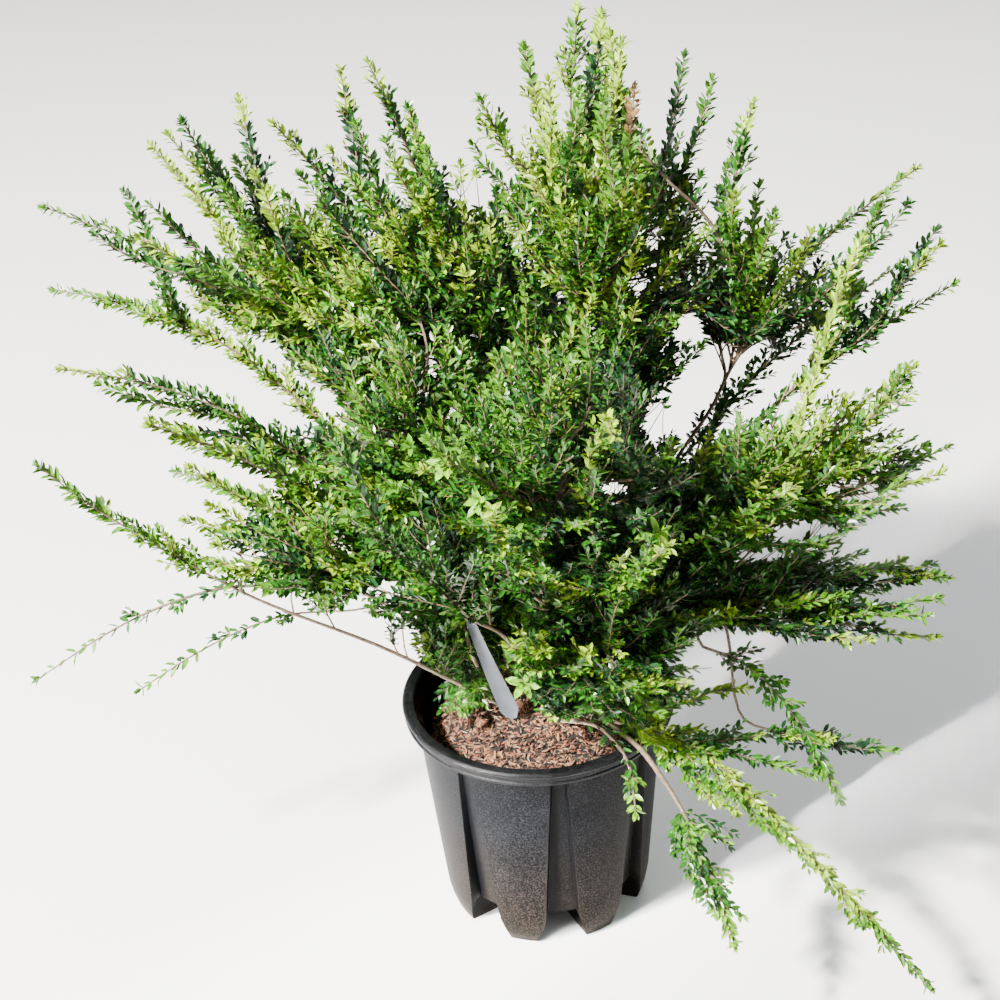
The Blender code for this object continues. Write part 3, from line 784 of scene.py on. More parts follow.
    def cane_to(self, end, arrive, spread, reach, step, sway):
        """The clearest and straightest of some canes to a place, and its thickness."""
        found = []
        for lean, wider in CANE_LEANS:
            for _ in range(CANE_TRIES):
                foot, lead, thick = self.rise(end, arrive.normalized(), spread * wider, reach, lean)
                count = max(8, int((end - foot).length / step))
                line = curve_line(foot, lead, end, arrive, count, self.rng, sway)
                found.append((self.cover(line) + BEND_COST * self.bend(line), line, thick))
            _, line, thick = min(found, key=lambda row: row[0])
            if not any(self.before_label(point) for point in line):
                break
        return line, thick

    def grow_stems(self):
        """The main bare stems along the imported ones, on into the shoot or mass that each carries."""
        for stem in STEMS:
            self.restart(stem)
            line, _ = spindle(stem)
            bare = smooth_line(line, 0.010)
            bare[0] = bare[0] - UP * 0.006
            if stem in STEM_SHOOTS:
                free, girth = self.free.pop(STEM_SHOOTS[stem])
                knots = [bare[0], bare[len(bare) // 2], bare[-1], free[len(free) // 2], free[-1]]
                cane = smooth_line(knots, 0.006)
                self.limb("canes", cane, 0.0026, 0.0007)
                self.add_joints(cane, 0.15, 0.8)
                self.dress_shoot(cane, len(cane) - len(free), girth, STEM_SHOOTS[stem])
            else:
                way = (bare[-1] - bare[0]).normalized()
                end = bare[-1] + way * 0.10 + UP * 0.08
                cane = bare[:-1] + curve_line(bare[-1], bare[-1] - bare[-2], end, way + UP, 14)
                self.limb("canes", cane, 0.0034, 0.0010)
                self.add_joints(cane, 0.3, 0.9)
                self.dress_shoot(cane, len(cane) - 8, 0.012)

    def grow_shoots(self):
        """A cane for every other packed shoot, on to its tip."""
        for node, (free, girth) in self.free.items():
            self.restart(node)
            line, thick = self.cane_to(free[0], free[1] - free[0], 12, 0.30, 0.012, 0.010)
            cane = line[:-1] + free
            self.limb("canes", cane, thick, 0.0007)
            if free[-1].z > free[0].z:
                self.add_joints(cane, 0.2, 0.7)
            self.dress_shoot(cane, len(line) - 1, girth, node)

    def rosette(self, point, ahead, largest, tint, droop=0.0):
        """Crossed pairs of leaves that close a shoot's tip, and hang where it droops."""
        rng = self.rng
        across, upward = side_ways(ahead)
        start = rng.uniform(0.0, math.pi)
        for pair, (spread, size) in enumerate(ROSETTE_PAIRS):
            turn = start + pair * math.pi / 2
            for side in (-1, 1):
                lean = math.radians(spread + rng.uniform(-9, 9))
                outward = (across * math.cos(turn) + upward * math.sin(turn)) * side
                facing = ahead * math.cos(lean) + outward * math.sin(lean) - UP * droop
                foot = point - ahead * (0.0022 * (2 - pair))
                above = ahead + self.jitter(0.2)
                self.leaf(tint, foot, facing, above, largest * size * rng.uniform(0.85, 1.1))

    def dress_shoot(self, line, first, girth, name=None):
        """Leaves and side twigs along a shoot's free part, and a rosette at its tip."""
        rng = self.rng
        tip_tint = rng.choices(list(TIP_TINTS), list(TIP_TINTS.values()))[0]
        tint = self.tint(line[-1], 0.9)
        full, tint, tip_tint, bare, last = SHOOT_HABITS.get(name, (1.0, tint, tip_tint, None, 0.85))
        start = first - 5 if bare is None else first + int(bare * (len(line) - first))
        leafy = line[max(0, start):]
        length = (leafy[-1] - leafy[0]).length
        gap = 0.78 if full > 0.6 else 2.0
        self.clothe(leafy, 0.02, self.leaf_length * 1.12, tint, tip_tint, rng.uniform(0.6, 0.85), gap)
        self.rosette(leafy[-1], (leafy[-1] - leafy[-2]).normalized(), self.leaf_length, tip_tint)
        for _ in range(int(length / SHOOT_TWIG_GAP * full)):
            part = rng.random() ** 1.4 * last
            reach = 0.008 + (girth + 0.004) * (1.3 - 1.2 * part) * rng.uniform(0.5, 1.25) * full ** 0.5
            shade = tip_tint if part > 0.7 or rng.random() < 0.2 else None
            self.side_twig(leafy, part, reach, tint, shade)

    def lobe_targets(self, name):
        """Evenly spread places on the open part of a mass's skin, for twigs to reach."""
        rng = self.rng
        self.restart("targets", name)
        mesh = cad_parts[name].data
        mesh.calc_loop_triangles()
        triangles = [([mesh.vertices[i].co.copy() for i in triangle.vertices], triangle.area,
                      triangle.normal.copy()) for triangle in mesh.loop_triangles]
        weights = [area for _, area, _ in triangles]
        others = [self.solids[other] for other in LOBES if other != name]
        found = []
        tries = int(sum(weights) / self.twig_spacing ** 2 * 6)
        for (a, b, c), _, normal in rng.choices(triangles, weights, k=tries):
            u, v = rng.random(), rng.random()
            if u + v > 1.0:
                u, v = 1.0 - u, 1.0 - v
            point = a + (b - a) * u + (c - a) * v
            if any((point - near).length < self.twig_spacing for near, _ in found):
                continue
            if any(self.depth(tree, point + normal * 0.012) > -0.002 for tree in others):
                continue
            found.append((point, normal))
        return found

    def valley_targets(self, count):
        """Places in the narrow dips between two masses, which the crown's foliage closes."""
        rng = self.rng
        self.restart("valleys")
        boxes = [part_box(name) for name in LOBES]
        found = []
        for _ in range(count):
            low, high = rng.choice(boxes)
            point = Vector([rng.uniform(low[k] - 0.02, high[k] + 0.02) for k in range(3)])
            depths = sorted((self.depth(tree, point) for tree in self.solids.values()), reverse=True)
            if depths[0] > 0.0 or depths[1] < -VALLEY_WIDTH:
                continue
            if all((point - near).length > self.twig_spacing * 0.9 for near, _ in found):
                found.append((point, self.flow(point)))
        return found

    def skirt_targets(self):
        """Places low round the stems, where short sprays hide them."""
        rng = self.rng
        self.restart("skirt")
        found = []
        for low_turn, high_turn, low_reach, high_reach, low, high, count in SKIRT:
            for _ in range(count):
                point = around(rng.uniform(low_turn, high_turn), rng.uniform(low_reach, high_reach),
                               rng.uniform(low, high))
                found.append((point, (point - STOOL).normalized()))
        return found

    def grow_boughs(self, name, targets):
        """A cane of its own into a mass, and boughs from it towards the mass's skin."""
        rng = self.rng
        self.restart("boughs", name)
        low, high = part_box(name)
        middle = (low + high) / 2
        cane, thick = self.cane_to(middle, self.flow(middle), 35, 0.26, 0.016, 0.012)
        self.limb("canes", cane, thick, 0.0017)
        self.add_joints(cane, 0.35, 1.0)
        nearby = [joint for joint in self.joints if (joint[0] - middle).length < 0.16]
        for point in self.pick_far([point for point, _ in targets], 10):
            end = middle.lerp(point, 0.62)
            start, ahead = min(nearby, key=lambda joint: (
                (joint[0] - end).length - 0.10 * joint[1].dot((end - joint[0]).normalized())
                + rng.uniform(0.0, 0.03)))
            bough = curve_line(start, ahead + (end - start).normalized() * 0.6, end,
                               (end - middle).normalized() * 0.6 + self.flow(end), 10, rng, 0.006)
            self.limb("boughs", bough, 0.0019, 0.0010)
            self.add_joints(bough, 0.25, 1.0)

    @staticmethod
    def pick_far(points, count):
        """Points that lie as far from each other as they can."""
        chosen = [points[0]]
        gaps = [(point - points[0]).length for point in points]
        while len(chosen) < min(count, len(points)):
            index = max(range(len(points)), key=gaps.__getitem__)
            chosen.append(points[index])
            gaps = [min(gap, (point - points[index]).length) for gap, point in zip(gaps, points)]
        return chosen

    def reach_out(self, tip, arrive, wanted, starts, reach, strictness):
        """A twig to a tip from the best placed joint whose way is clear, or none."""
        away = np.array(tip) - starts
        distance = np.linalg.norm(away, axis=1)
        lined = away @ np.array(wanted) / np.maximum(distance, 1e-6)
        score = np.abs(distance - reach) + strictness * (1.0 - lined)
        found = []
        for index in np.argsort(score)[:SPRAY_TRIES * 4:4]:
            start, ahead = self.joints[int(index)]
            length = (tip - start).length
            chord = (tip - start) / length
            count = max(6, int(length / 0.014))
            line = curve_line(start, ahead * 0.5 + chord, tip, arrive * 0.9 + chord * 0.5, count,
                              self.rng, 0.005)
            cover, bend = self.cover(line), self.bend(line)
            found.append((cover + BEND_COST * bend, cover, line))
            if cover == 0.0 and bend < EASY_BEND:
                break
        _, cover, line = min(found, key=lambda row: row[0])
        return line if cover < MOST_COVER else None

    def grow_spray(self, point, normal, starts, reach):
        """A leafy spray from the best placed joint to a point near the skin."""
        rng = self.rng
        way = self.flow(point)
        tip = point + way * rng.uniform(-0.022, 0.020) + normal * rng.uniform(-0.012, 0.004)
        if self.in_gap(tip):
            return
        twig = self.reach_out(tip, way, way * 0.7 + normal * 0.3, starts, reach, 0.10)
        if twig is None:
            return
        length = (tip - twig[0]).length
        self.limb("twigs", twig, 0.0011, 0.0005)
        # Painted light: higher for sprays that face up, to the front and to the left, towards the key light,
        # and for higher ones; it makes tints, tips and rosettes brighter
        painted_light = 0.25 + 0.6 * normal.z - 0.25 * normal.y - 0.15 * normal.x + 0.9 * (point.z - 0.55)
        painted_light = min(1.0, max(0.0, painted_light))
        tint = self.tint(tip, painted_light)
        fresher = {"deep": "mid", "mid": "fresh", "fresh": "bright"}.get(tint)
        tip_tint = fresher if rng.random() < 0.3 + 0.5 * painted_light else None
        bare = max(0.0, 1.0 - 0.115 / length)
        self.clothe(twig, bare, self.leaf_length, tint, tip_tint, rng.uniform(0.7, 0.9))
        for _ in range(SPRAY_TWIGS):
            part = rng.uniform(max(bare, 0.2), 0.88)
            self.side_twig(twig, part, 0.014 + 0.038 * (1.0 - part) * rng.uniform(0.6, 1.2), tint, tip_tint)
        lead = (twig[-1] - twig[-2]).normalized()
        seen = self.sight.picture(tip)
        near = [spot for spot in self.bright_tips if math.dist(spot, seen) < BRIGHT_REACH]
        if near and normal.y < 0.1:
            self.bright_tips.remove(near[0])
            self.rosette(tip, lead, self.leaf_length * 1.30, "vivid", 0.35)
            self.rosette(tip - lead * 0.006, lead, self.leaf_length * 1.60, "vivid", 0.75)
        elif rng.random() < 0.3 * painted_light:
            self.rosette(tip, lead, self.leaf_length, tip_tint or tint)

    def grow_sprays(self, name, targets, starts, reach):
        """A spray for each of a set of places."""
        for index, (point, normal) in enumerate(targets):
            self.restart("spray", name, index)
            self.grow_spray(point, normal, starts, reach)

    def grow_small_shoots(self, starts):
        """The small shoots between the modelled ones, from the nearest cane or bough."""
        tips = [around(*row) for row in SMALL_SHOOTS] + [self.sight.point(*row) for row in SEEN_SHOOTS]
        for index, tip in enumerate(tips):
            self.restart("small shoot", index)
            way = self.flow(tip)
            line = self.reach_out(tip, way, way, starts, 0.15, 0.30)
            if line is not None:
                self.limb("twigs", line, 0.0014, 0.0005)
                self.dress_shoot(line, int(len(line) * 0.45), 0.012)

    def grow(self):
        """All of the plant. The gaps in the crown are kept clear once the canes stand."""
        self.grow_stems()
        targets = {name: self.lobe_targets(name) for name in LOBES}
        for name in LOBES:
            self.grow_boughs(name, targets[name])
        self.grow_shoots()
        starts = np.array([point for point, _ in self.joints])
        self.guarded = True
        for name in LOBES:
            self.grow_sprays(name, targets[name], starts, 0.125)
        self.grow_sprays("valley", self.valley_targets(VALLEY_TRIES), starts, 0.105)
        self.grow_sprays("low", self.skirt_targets(), starts, 0.070)
        self.grow_small_shoots(starts)


def leaf_shape(name):
    """One leaf a unit long along +X: a pointed oval folded along its midrib."""
    half = 0.205
    points = [
        (0.0, 0.0, 0.0), (0.28, -half, 0.075), (0.70, -half * 0.88, 0.045), (1.0, 0.0, -0.050),
        (0.70, half * 0.88, 0.045), (0.28, half, 0.075),
    ]
    faces = [(0, 1, 2), (0, 2, 3), (0, 3, 4), (0, 4, 5)]
    return add_mesh(name, points, faces, False)


class SHRUB_OT_plant(bpy.types.Operator):
    """Grow the canes, boughs, twigs and leaves"""

    bl_idname = "shrub.plant"
    bl_label = "Grow the shrub"
    PIECE_LEAVES = 45000

    def make_limbs(self, shrub, settings):
        """One piece for each kind of limb: its sides, bark relief and grain, finish and nodes."""
        tree = tube_tree()
        bark = make_finish("bark", settings.bark, 0.82, 0.45, 260.0, 0.6, 0.0006)
        young = make_finish("green_bark", settings.green_bark, 0.7, 0.35, 300.0)
        kinds = [
            ("canes", 8, 0.0011, 420.0, bark, STEMS),
            ("boughs", 6, 0.0006, 420.0, bark, ()),
            ("twigs", 3, 0.0, 300.0, young, ()),
            ("side_twigs", 3, 0.0, 300.0, young, ()),
        ]
        for kind, sides, relief, size, finish, nodes in kinds:
            data = bpy.data.curves.new(kind, "CURVE")
            data.dimensions = "3D"
            for line, radii in shrub.limbs[kind]:
                spline = data.splines.new("POLY")
                spline.points.add(len(line) - 1)
                spline.points.foreach_set("co", [x for point in line for x in (*point, 1.0)])
                spline.points.foreach_set("radius", radii)
            source = bpy.data.objects.new(kind, data)
            bpy.context.scene.collection.objects.link(source)
            values = {"Sides": sides, "Relief": relief, "Relief size": size, "Finish": finish}
            settle(run_tree(source, tree, values, kind), nodes)

    def make_leaves(self, shrub):
        """The leaves by tint, shared out from left to right where a tint has too many for one piece."""
        tree = placing_tree()
        template = leaf_shape("leaf_shape")
        pieces = []
        for tint, colour, roughness in TINTS:
            finish = make_finish("leaf_" + tint, colour, roughness, 0.6, 105.0)
            finish.node_tree.nodes["Principled BSDF"].inputs["Specular IOR Level"].default_value = LEAF_GLOSS
            rows = shrub.leaves[tint]
            rows.sort(key=lambda row: row[0])
            count = max(1, math.ceil(len(rows) / self.PIECE_LEAVES))
            share = math.ceil(len(rows) / count)
            for k in range(count):
                name = f"leaves_{tint}_{k + 1}"
                source = point_cloud(name + "_points", rows[k * share:(k + 1) * share])
                pieces.append(run_tree(source, tree, {"Copy": template, "Finish": finish}, name))
        bpy.data.objects.remove(template, do_unlink=True)
        for piece in pieces:
            young = any(tint in piece.name for tint in ("bright", "fresh", "vivid"))
            settle(piece, SHOOTS if young else LOBES)

    def execute(self, context):
        shrub = Shrub(context.scene.shrub, Sight(context.scene.shrub_stage))
        shrub.grow()
        self.make_limbs(shrub, context.scene.shrub)
        self.make_leaves(shrub)
        return {"FINISHED"}


class SHRUB_OT_pot(bpy.types.Operator):
    """Mould the pot with its rolled rim, channels and feet"""

    bl_idname = "shrub.pot"
    bl_label = "Mould the pot"

    # Radii of the wall at the top, at the bend above the feet and at the foot, and the bend's height
    BODY_TOP = 0.1312
    BODY_FOOT = 0.1134
    FOOT_RADIUS = 0.1065
    BEND_HEIGHT = 0.030

    # The flat hub underneath, and the roof of the tunnels between it and the channels
    HUB = 0.050
    HUB_TOP = 0.054
    ROOF_HEIGHT = 0.037

    # Channels: azimuth of the first, depths at the bottom and top, heights of their ends
    FIRST_CHANNEL = 7.0
    CHANNEL_DEPTHS = (0.0125, 0.0035)
    CHANNEL_ENDS = (0.045, 0.236)
    CHANNEL_STOP = 0.2415

    # Half widths of a channel in degrees: at the foot, at the bend, and low and high on the wall
    FOOT_HALF = 13.1
    BEND_HALF = 9.0
    LOW_HALF = 8.0
    HIGH_HALF = 2.5
    EDGE_TURN = 1.1

    # Points on a panel's ring: the channel's floor, its wall by parts of the way out, and the face
    FLOOR_POINTS = 5
    WALL_PARTS = (0.35, 0.75, 0.95)
    FACE_POINTS = 13

    # Dust on those points, with the next channel's wall at the end; where it is low, in the channels' corners
    # and walls, the plastic stays darkest as a painted shade
    DUST = (0.0, 0.2, 0.6, 0.7, 0.45, 0.1, 0.3, 1.0, *(1.0,) * FACE_POINTS, 1.0, 0.0, 0.0)

    # The rim: inner radius of its lip, radius of its roll, and the skirt's radius and drop
    LIP = 0.1314
    ROLL = 0.004
    SKIRT = 0.142
    SKIRT_DROP = 0.0155

    # Strength of the sheen
    BODY_GLOSS = 0.03
    RIM_GLOSS = 0.13

    # How high the brown dust reaches, how much dust clouds, and the noise where specks start and are full
    DUST_HEIGHT = 0.16
    CLOUD_SHARE = 0.16
    DUST_LIMITS = (0.53, 0.76)

    def body(self, height):
        """The wall's radius at a height."""
        part = (height - self.BEND_HEIGHT) / (POT_HEIGHT - self.SKIRT_DROP - self.BEND_HEIGHT)
        return between(self.BODY_FOOT, self.BODY_TOP, part)

    def ring(self, radius, height, depth, half, skin, roof=None, roof_radius=None):
        """One ring: the floor, the two rounded sides and the face of every panel."""
        floor_radius = radius - depth if roof_radius is None else roof_radius
        floor_height = height if roof is None else roof
        half_floor = half + math.degrees(skin / radius)
        half_edge = half_floor + self.EDGE_TURN
        turn = 360.0 / self.panels

        def wall(angle, part):
            return around(angle, between(floor_radius, radius, part) - skin,
                          between(floor_height, height, part) + skin)

        points = []
        for panel in range(self.panels):
            middle = self.FIRST_CHANNEL + turn * panel
            for i in range(self.FLOOR_POINTS):
                angle = middle + half_floor * (2 * i / (self.FLOOR_POINTS - 1) - 1)
                points.append(around(angle, floor_radius - skin, floor_height + skin))
            points += [wall(middle + between(half_floor, half_edge, part), part) for part in self.WALL_PARTS]
            for i in range(self.FACE_POINTS):
                angle = middle + half_edge + (turn - 2 * half_edge) * i / (self.FACE_POINTS - 1)
                points.append(around(angle, radius - skin, height + skin))
            points += [wall(middle + turn - between(half_floor, half_edge, part), part)
                       for part in self.WALL_PARTS[::-1]]
        return points

    def surface(self, skin):
        """The rings of the pot's skin from the middle of the underside up to the rim."""
        roof = self.body(self.ROOF_HEIGHT) - self.CHANNEL_DEPTHS[0]
        rows = [
            self.ring(self.HUB, 0.0, 0.0, self.LOW_HALF, skin),
            self.ring(self.HUB_TOP, 0.0, 0.0, self.LOW_HALF, skin, self.ROOF_HEIGHT),
            self.ring(self.FOOT_RADIUS - 0.0015, 0.0, 0.0, self.FOOT_HALF, skin,
                      self.ROOF_HEIGHT, roof - 0.0045),
            self.ring(self.FOOT_RADIUS, 0.0012, 0.0, self.FOOT_HALF, skin,
                      self.ROOF_HEIGHT, roof - 0.003),
        ]
        for part in (0.5, 0.85, 1.0):
            radius = between(self.FOOT_RADIUS, self.BODY_FOOT, part ** 0.7)
            rows.append(self.ring(radius, self.BEND_HEIGHT * part, 0.0,
                                  between(self.FOOT_HALF, self.BEND_HALF, part), skin,
                                  self.ROOF_HEIGHT + 0.0004, roof))
        for i in range(24):
            part = i / 23
            height = between(*self.CHANNEL_ENDS, part)
            rows.append(self.ring(self.body(height), height, between(*self.CHANNEL_DEPTHS, part),
                                  between(self.LOW_HALF, self.HIGH_HALF, part), skin))
        rows.append(self.ring(self.body(self.CHANNEL_STOP), self.CHANNEL_STOP, 0.0, self.HIGH_HALF, skin))
        return rows

    def execute(self, context):
        settings = context.scene.shrub_pot
        self.panels = settings.panels
        skirt_foot = POT_HEIGHT - self.SKIRT_DROP
        bead = self.SKIRT + 0.0014
        profile = [(self.body(POT_HEIGHT - 0.006), POT_HEIGHT - 0.006),
                   (self.SKIRT - 0.0025, POT_HEIGHT - 0.006), (self.SKIRT - 0.0025, skirt_foot + 0.0006),
                   (self.SKIRT - 0.0019, skirt_foot), (self.SKIRT, skirt_foot),
                   (bead - 0.0003, skirt_foot + 0.0007), (bead, skirt_foot + 0.0018),
                   (bead - 0.0003, skirt_foot + 0.0030), (self.SKIRT - 0.0002, skirt_foot + 0.0040),
                   (self.SKIRT - 0.0002, POT_HEIGHT - 0.0068)]
        for middle, quarter in ((RIM_RADIUS - self.ROLL, 0), (self.LIP + self.ROLL, 1)):
            for i in range(7):
                turn = math.pi / 2 * (quarter + i / 6)
                profile.append((middle + self.ROLL * math.cos(turn),
                                POT_HEIGHT - self.ROLL + self.ROLL * math.sin(turn)))
        rows = self.surface(0.0)
        around_count = len(rows[0])
        rim_first = len(rows) * around_count
        rim_last = rim_first + (len(profile) - 1) * around_count
        rows += [self.ring(radius, height, 0.0, self.HIGH_HALF, 0.0) for radius, height in profile]
        rows += self.surface(settings.wall)[::-1]
        points = [point for row in rows for point in row]
        faces = ring_faces(len(rows), around_count)
        faces.append(tuple(reversed(range(around_count))))
        faces.append(tuple(range((len(rows) - 1) * around_count, len(rows) * around_count)))
        pot = add_mesh("nursery_pot", points, faces)
        # Dust on each point: none in the channels' corners and walls, which keeps the plastic there darkest
        # as a painted shade
        dusty = pot.data.attributes.new("dusty", "FLOAT", "POINT")
        dusty.data.foreach_set("value", self.DUST * (self.panels * len(rows)))
        pot.data.set_sharp_from_angle(angle=math.radians(38))
        pot.data.materials.append(self.plastic("moulded_plastic", settings, self.BODY_GLOSS))
        pot.data.materials.append(self.plastic("rim_plastic", settings, self.RIM_GLOSS))
        for polygon in pot.data.polygons[rim_first:rim_last]:
            polygon.material_index = 1
        settle(pot, ["pot"])
        return {"FINISHED"}

    def plastic(self, name, settings, gloss):
        """Black moulded plastic: pale specks of dust, left out of the channels' corners and walls as a
        painted shade there, and brown dust low down.
        """
        material = make_finish(name, settings.colour, 0.40, 0.3, 700.0, 0.35, 0.0003)
        tree = material.node_tree
        shader = tree.nodes["Principled BSDF"]
        shader.inputs["Specular IOR Level"].default_value = gloss
        place = tree.nodes["Texture Coordinate"].outputs["Object"]
        specks = add_node(tree, "ShaderNodeTexNoise", {"Vector": place, "Scale": 560.0, "Detail": 2.0})
        cloud = add_node(tree, "ShaderNodeTexNoise", {"Vector": place, "Scale": 24.0, "Detail": 6.0})
        split = add_node(tree, "ShaderNodeSeparateXYZ", {"Vector": place})
        low = add_node(tree, "ShaderNodeMapRange", {
            "Value": split.outputs["Z"], "From Min": self.DUST_HEIGHT, "From Max": 0.0})
        amount = add_node(tree, "ShaderNodeMath", {
            0: cloud.outputs["Fac"], 1: self.CLOUD_SHARE, 2: specks.outputs["Fac"]}, operation="MULTIPLY_ADD")
        start, full = self.DUST_LIMITS
        grains = add_node(tree, "ShaderNodeMapRange", {
            "Value": amount.outputs["Value"], "From Min": start, "From Max": full})
        # Specks only where a point's dust is high; the bare channels are a painted shade
        dust_and_shade_map = add_node(tree, "ShaderNodeAttribute", attribute_name="dusty")
        dust_after_shade = add_node(tree, "ShaderNodeMath", {
            0: dust_and_shade_map.outputs["Fac"], 1: grains.outputs["Result"]}, operation="MULTIPLY")
        tone = add_node(tree, "ShaderNodeMix", data_type="RGBA")
        tone.inputs["A"].default_value = (*settings.dust, 1.0)
        tone.inputs["B"].default_value = (*settings.low_dust, 1.0)
        tree.links.new(low.outputs["Result"], tone.inputs["Factor"])
        blend = add_node(tree, "ShaderNodeMix", data_type="RGBA")
        tree.links.new(dust_after_shade.outputs["Value"], blend.inputs["Factor"])
        tree.links.new(tree.nodes["Color Ramp"].outputs["Color"], blend.inputs["A"])
        tree.links.new(tone.outputs["Result"], blend.inputs["B"])
        tree.links.new(blend.outputs["Result"], shader.inputs["Base Color"])
        return material


class SHRUB_OT_compost(bpy.types.Operator):
    """Fill the pot with bark compost and stick the blank label in"""

    bl_idname = "shrub.compost"
    bl_label = "Fill the pot"

    # The middle's flat radius, the azimuth where the pot is fullest, and the heights at the wall
    LEVEL = 0.055
    FULL_SIDE = 95.0
    EDGES = (0.206, 0.243)
    REACH = SOIL_RADIUS - 0.0048

    # Lumps: their grain and height; the mound's rings, sides and underside; and the chips' seed
    LUMP_GRAIN = 45.0
    LUMP_HEIGHT = 0.0036
    RINGS = 22
    SIDES = 72
    UNDER_RADIUS = 0.100
    CHIP_SEED = 5

    def height(self, point):
        """The compost's height at a place."""
        radius = math.hypot(point[0], point[1])
        turn = math.atan2(point[0], -point[1]) - math.radians(self.FULL_SIDE)
        edge = between(*self.EDGES, 0.5 + 0.5 * math.cos(turn))
        part = min(1.0, max(0.0, (radius - self.LEVEL) / (self.REACH - self.LEVEL)))
        lump = noise.noise(Vector((point[0], point[1], 0.0)) * self.LUMP_GRAIN) * self.LUMP_HEIGHT
        return between(SOIL_TOP, edge, part) + lump * min(1.0, (1.0 - part) * 4) - 0.002

    def mound(self, finish):
        """The compost's own surface, closed underneath."""
        sides = self.SIDES
        under = SOIL_LOW.z + 0.001
        points = [(0.0, 0.0, self.height((0, 0)))]
        for k in range(1, self.RINGS + 1):
            for i in range(sides):
                x, y, _ = around(360 * i / sides, self.REACH * k / self.RINGS, 0)
                points.append((x, y, self.height((x, y))))
        points += [tuple(around(360 * i / sides, self.UNDER_RADIUS, under)) for i in range(sides)]
        points.append((0.0, 0.0, under))
        faces = [(0, 1 + i, 1 + (i + 1) % sides) for i in range(sides)]
        faces += [(a, b, c, d) for a, d, c, b in ring_faces(self.RINGS + 1, sides, 1)]
        last = len(points) - 1
        faces += [(last, last - sides + (i + 1) % sides, last - sides + i) for i in range(sides)]
        soil = add_mesh("compost", points, faces)
        soil.data.materials.append(finish)
        settle(soil, ["soil"])

    def chips(self, settings):
        """Loose chips and fibres lying on the compost, one piece for each colour."""
        rng = random.Random(self.CHIP_SEED)
        tree = placing_tree()
        for name, colour, part, slim in CHIPS:
            shape = bmesh.new()
            bmesh.ops.create_icosphere(shape, subdivisions=1, radius=0.5)
            for vert in shape.verts:
                vert.co.x *= rng.uniform(0.85, 1.15)
                vert.co.y *= slim * rng.uniform(0.7, 1.2)
                vert.co.z *= slim * 0.5 * rng.uniform(0.6, 1.3)
            mesh = bpy.data.meshes.new("chip_shape")
            shape.to_mesh(mesh)
            shape.free()
            template = bpy.data.objects.new("chip_shape", mesh)
            bpy.context.scene.collection.objects.link(template)
            rows = []
            for _ in range(int(settings.chips * part)):
                radius = (self.REACH - 0.004) * math.sqrt(rng.random())
                spot = around(rng.uniform(0, 360), radius, 0.0)
                spot.z = self.height(spot) + rng.uniform(0.0, 0.0035)
                facing = (rng.gauss(0, 1), rng.gauss(0, 1), rng.gauss(0, 0.4))
                upward = (rng.gauss(0, 0.6), rng.gauss(0, 0.6), 1.0)
                rows.append((*spot, *facing, *upward, settings.chip_length * rng.uniform(0.4, 1.9)))
            finish = make_finish(name, colour, 0.85, 0.35, 180.0, 0.4, 0.0006)
            piece = run_tree(point_cloud(name + "_points", rows), tree,
                             {"Copy": template, "Finish": finish}, name)
            bpy.data.objects.remove(template, do_unlink=True)
            settle(piece)

    def label(self, finish):
        """The blank label: a thin curved strip with a pointed foot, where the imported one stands."""
        points = corners("label")
        foot = points[points[:, 2].argmin()]
        reach = np.linalg.norm(points - foot, axis=1)
        chord = points[reach.argmax()] - foot
        along = (points - foot) @ chord / (chord @ chord)
        middles = [points[np.abs(along - part).argsort()[:4]].mean(0) for part in (0.0, 0.25, 0.5, 0.75, 1.0)]
        line = smooth_line([Vector(middle) for middle in middles], 0.004)
        across = Vector(points[np.abs(along - 0.5).argsort()[0]]) - Vector(middles[2])
        across = (across - chord_way(line) * across.dot(chord_way(line))).normalized()
        rows = []
        last = len(line) - 1
        for i, point in enumerate(line):
            part = i / last
            ahead = (line[min(last, i + 1)] - line[max(0, i - 1)]).normalized()
            side = (across - ahead * across.dot(ahead)).normalized()
            face = side.cross(ahead)
            half = between(LABEL_FOOT, LABEL_TOP, part) / 2 * min(1.0, 0.25 + part * 9)
            half *= math.sqrt(max(0.12, 1.0 - max(0.0, (part - 0.94) / 0.06) ** 2))
            bow = LABEL_BOW * half
            rows.append([point + side * half * k + face * (bow * (1.0 - k * k) + skin)
                         for skin, ks in ((0.0, (-1.0, -0.5, 0.0, 0.5, 1.0)),
                                          (-LABEL_SKIN, (1.0, 0.5, 0.0, -0.5, -1.0))) for k in ks])
        count = len(rows[0])
        faces = [tuple(reversed(range(count))), tuple(range(last * count, (last + 1) * count))]
        faces += ring_faces(last + 1, count)
        strip = add_mesh("label_strip", [point for row in rows for point in row], faces)
        shape = bmesh.new()
        shape.from_mesh(strip.data)
        bmesh.ops.recalc_face_normals(shape, faces=shape.faces)
        shape.to_mesh(strip.data)
        shape.free()
        strip.data.set_sharp_from_angle(angle=math.radians(50))
        strip.data.materials.append(finish)
        settle(strip, ["label"])

    def execute(self, context):
        settings = context.scene.shrub_pot
        self.mound(make_finish("compost_brown", settings.compost, 0.95, 0.6, 220.0, 1.0, 0.002))
        self.chips(settings)
        self.label(make_finish("label_grey", settings.label, 0.42, 0.12, 90.0, 0.15, 0.0003))
        return {"FINISHED"}


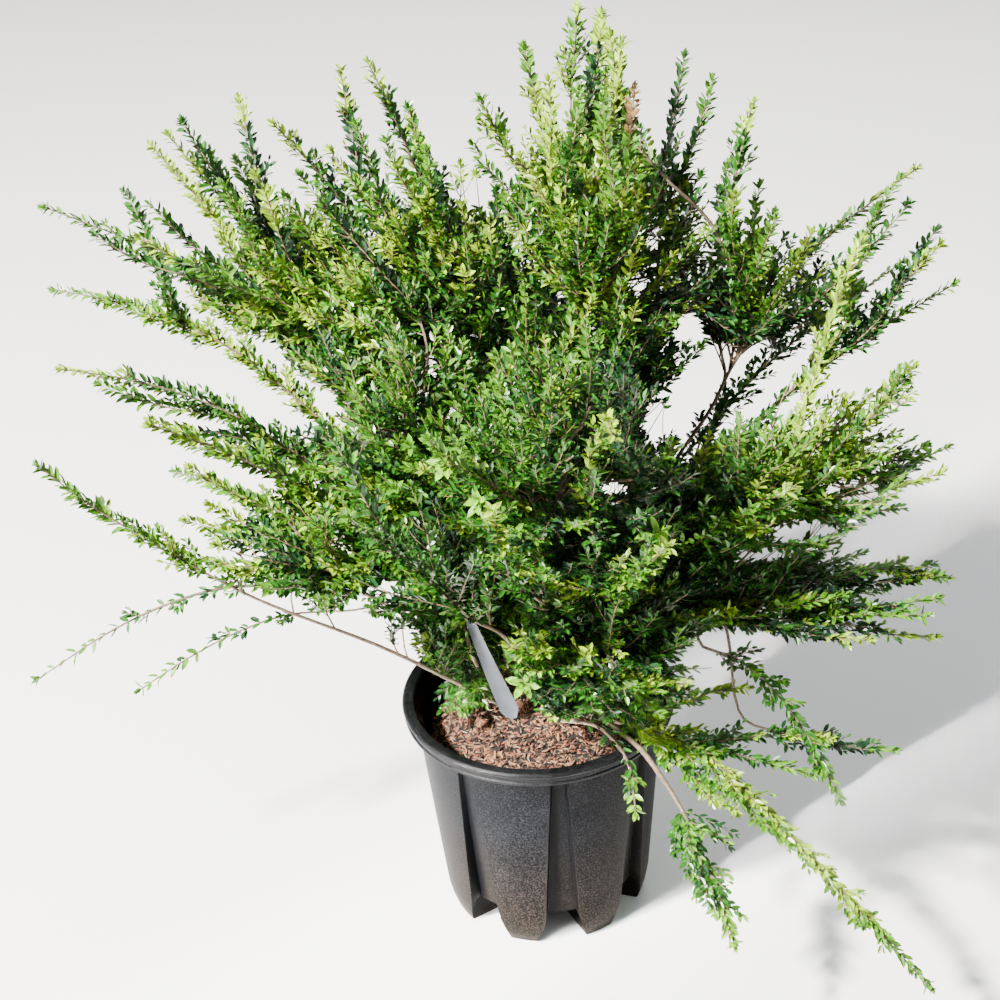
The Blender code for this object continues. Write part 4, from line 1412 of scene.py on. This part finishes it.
class SHRUB_OT_stage(bpy.types.Operator):
    """Set the floor, the soft lights and the camera"""

    bl_idname = "shrub.stage"
    bl_label = "Set the stage"

    def area(self, name, place, target, size, power, colour, spread):
        """A soft square light that points at its target."""
        data = bpy.data.lights.new(name, "AREA")
        data.spread = math.radians(spread)
        data.size = size
        data.energy = power
        data.color = colour
        light = bpy.data.objects.new(name, data)
        light.location = place
        light.rotation_euler = (Vector(target) - Vector(place)).to_track_quat("-Z", "Y").to_euler()
        bpy.context.scene.collection.objects.link(light)

    def execute(self, context):
        settings = context.scene.shrub_stage
        square = [(FLOOR_HALF * x, FLOOR_HALF * y, 0.0) for x, y in ((-1, -1), (1, -1), (1, 1), (-1, 1))]
        floor = add_mesh("floor", square, [(0, 1, 2, 3)], False)
        floor.location.z = -0.0005
        floor.data.materials.append(make_finish("floor_white", FLOOR_COLOUR, 0.9))
        world = bpy.data.worlds.new("studio")
        world.use_nodes = True
        world.node_tree.nodes["Background"].inputs["Color"].default_value = (*SKY_COLOUR, 1.0)
        world.node_tree.nodes["Background"].inputs["Strength"].default_value = SKY_STRENGTH
        context.scene.world = world
        for row in LIGHTS:
            self.area(*row)
        data = bpy.data.cameras.new("camera")
        data.sensor_width = 36.0
        data.lens = settings.camera_lens
        camera = bpy.data.objects.new("camera", data)
        sight = Sight(settings)
        camera.matrix_world = Matrix.Translation(sight.eye) @ sight.turn.to_4x4()
        bpy.context.scene.collection.objects.link(camera)
        context.scene.camera = camera
        return {"FINISHED"}


class SHRUB_PT_panel(bpy.types.Panel):
    """The shrub's steps in the sidebar"""

    bl_idname = "SHRUB_PT_panel"
    bl_label = "Potted Shrub"
    bl_space_type = "VIEW_3D"
    bl_region_type = "UI"
    bl_category = "Shrub"

    def draw(self, context):
        layout = self.layout
        for group in (context.scene.shrub_pot, context.scene.shrub, context.scene.shrub_stage):
            box = layout.box()
            for name in group.__annotations__:
                box.prop(group, name)
        for step in STEPS:
            layout.operator(step.bl_idname)


STEPS = (SHRUB_OT_pot, SHRUB_OT_compost, SHRUB_OT_plant, SHRUB_OT_stage)
CLASSES = (PotSettings, ShrubSettings, StageSettings, *STEPS, SHRUB_PT_panel)


def register():
    for cls in CLASSES:
        bpy.utils.register_class(cls)
    bpy.types.Scene.shrub_pot = bpy.props.PointerProperty(type=PotSettings)
    bpy.types.Scene.shrub = bpy.props.PointerProperty(type=ShrubSettings)
    bpy.types.Scene.shrub_stage = bpy.props.PointerProperty(type=StageSettings)


def unregister():
    del bpy.types.Scene.shrub_stage
    del bpy.types.Scene.shrub
    del bpy.types.Scene.shrub_pot
    for cls in reversed(CLASSES):
        bpy.utils.unregister_class(cls)


def main():
    """Make everything."""
    register()
    bpy.ops.shrub.pot()
    bpy.ops.shrub.compost()
    bpy.ops.shrub.plant()
    bpy.ops.shrub.stage()


if __name__ == "__main__":
    main()
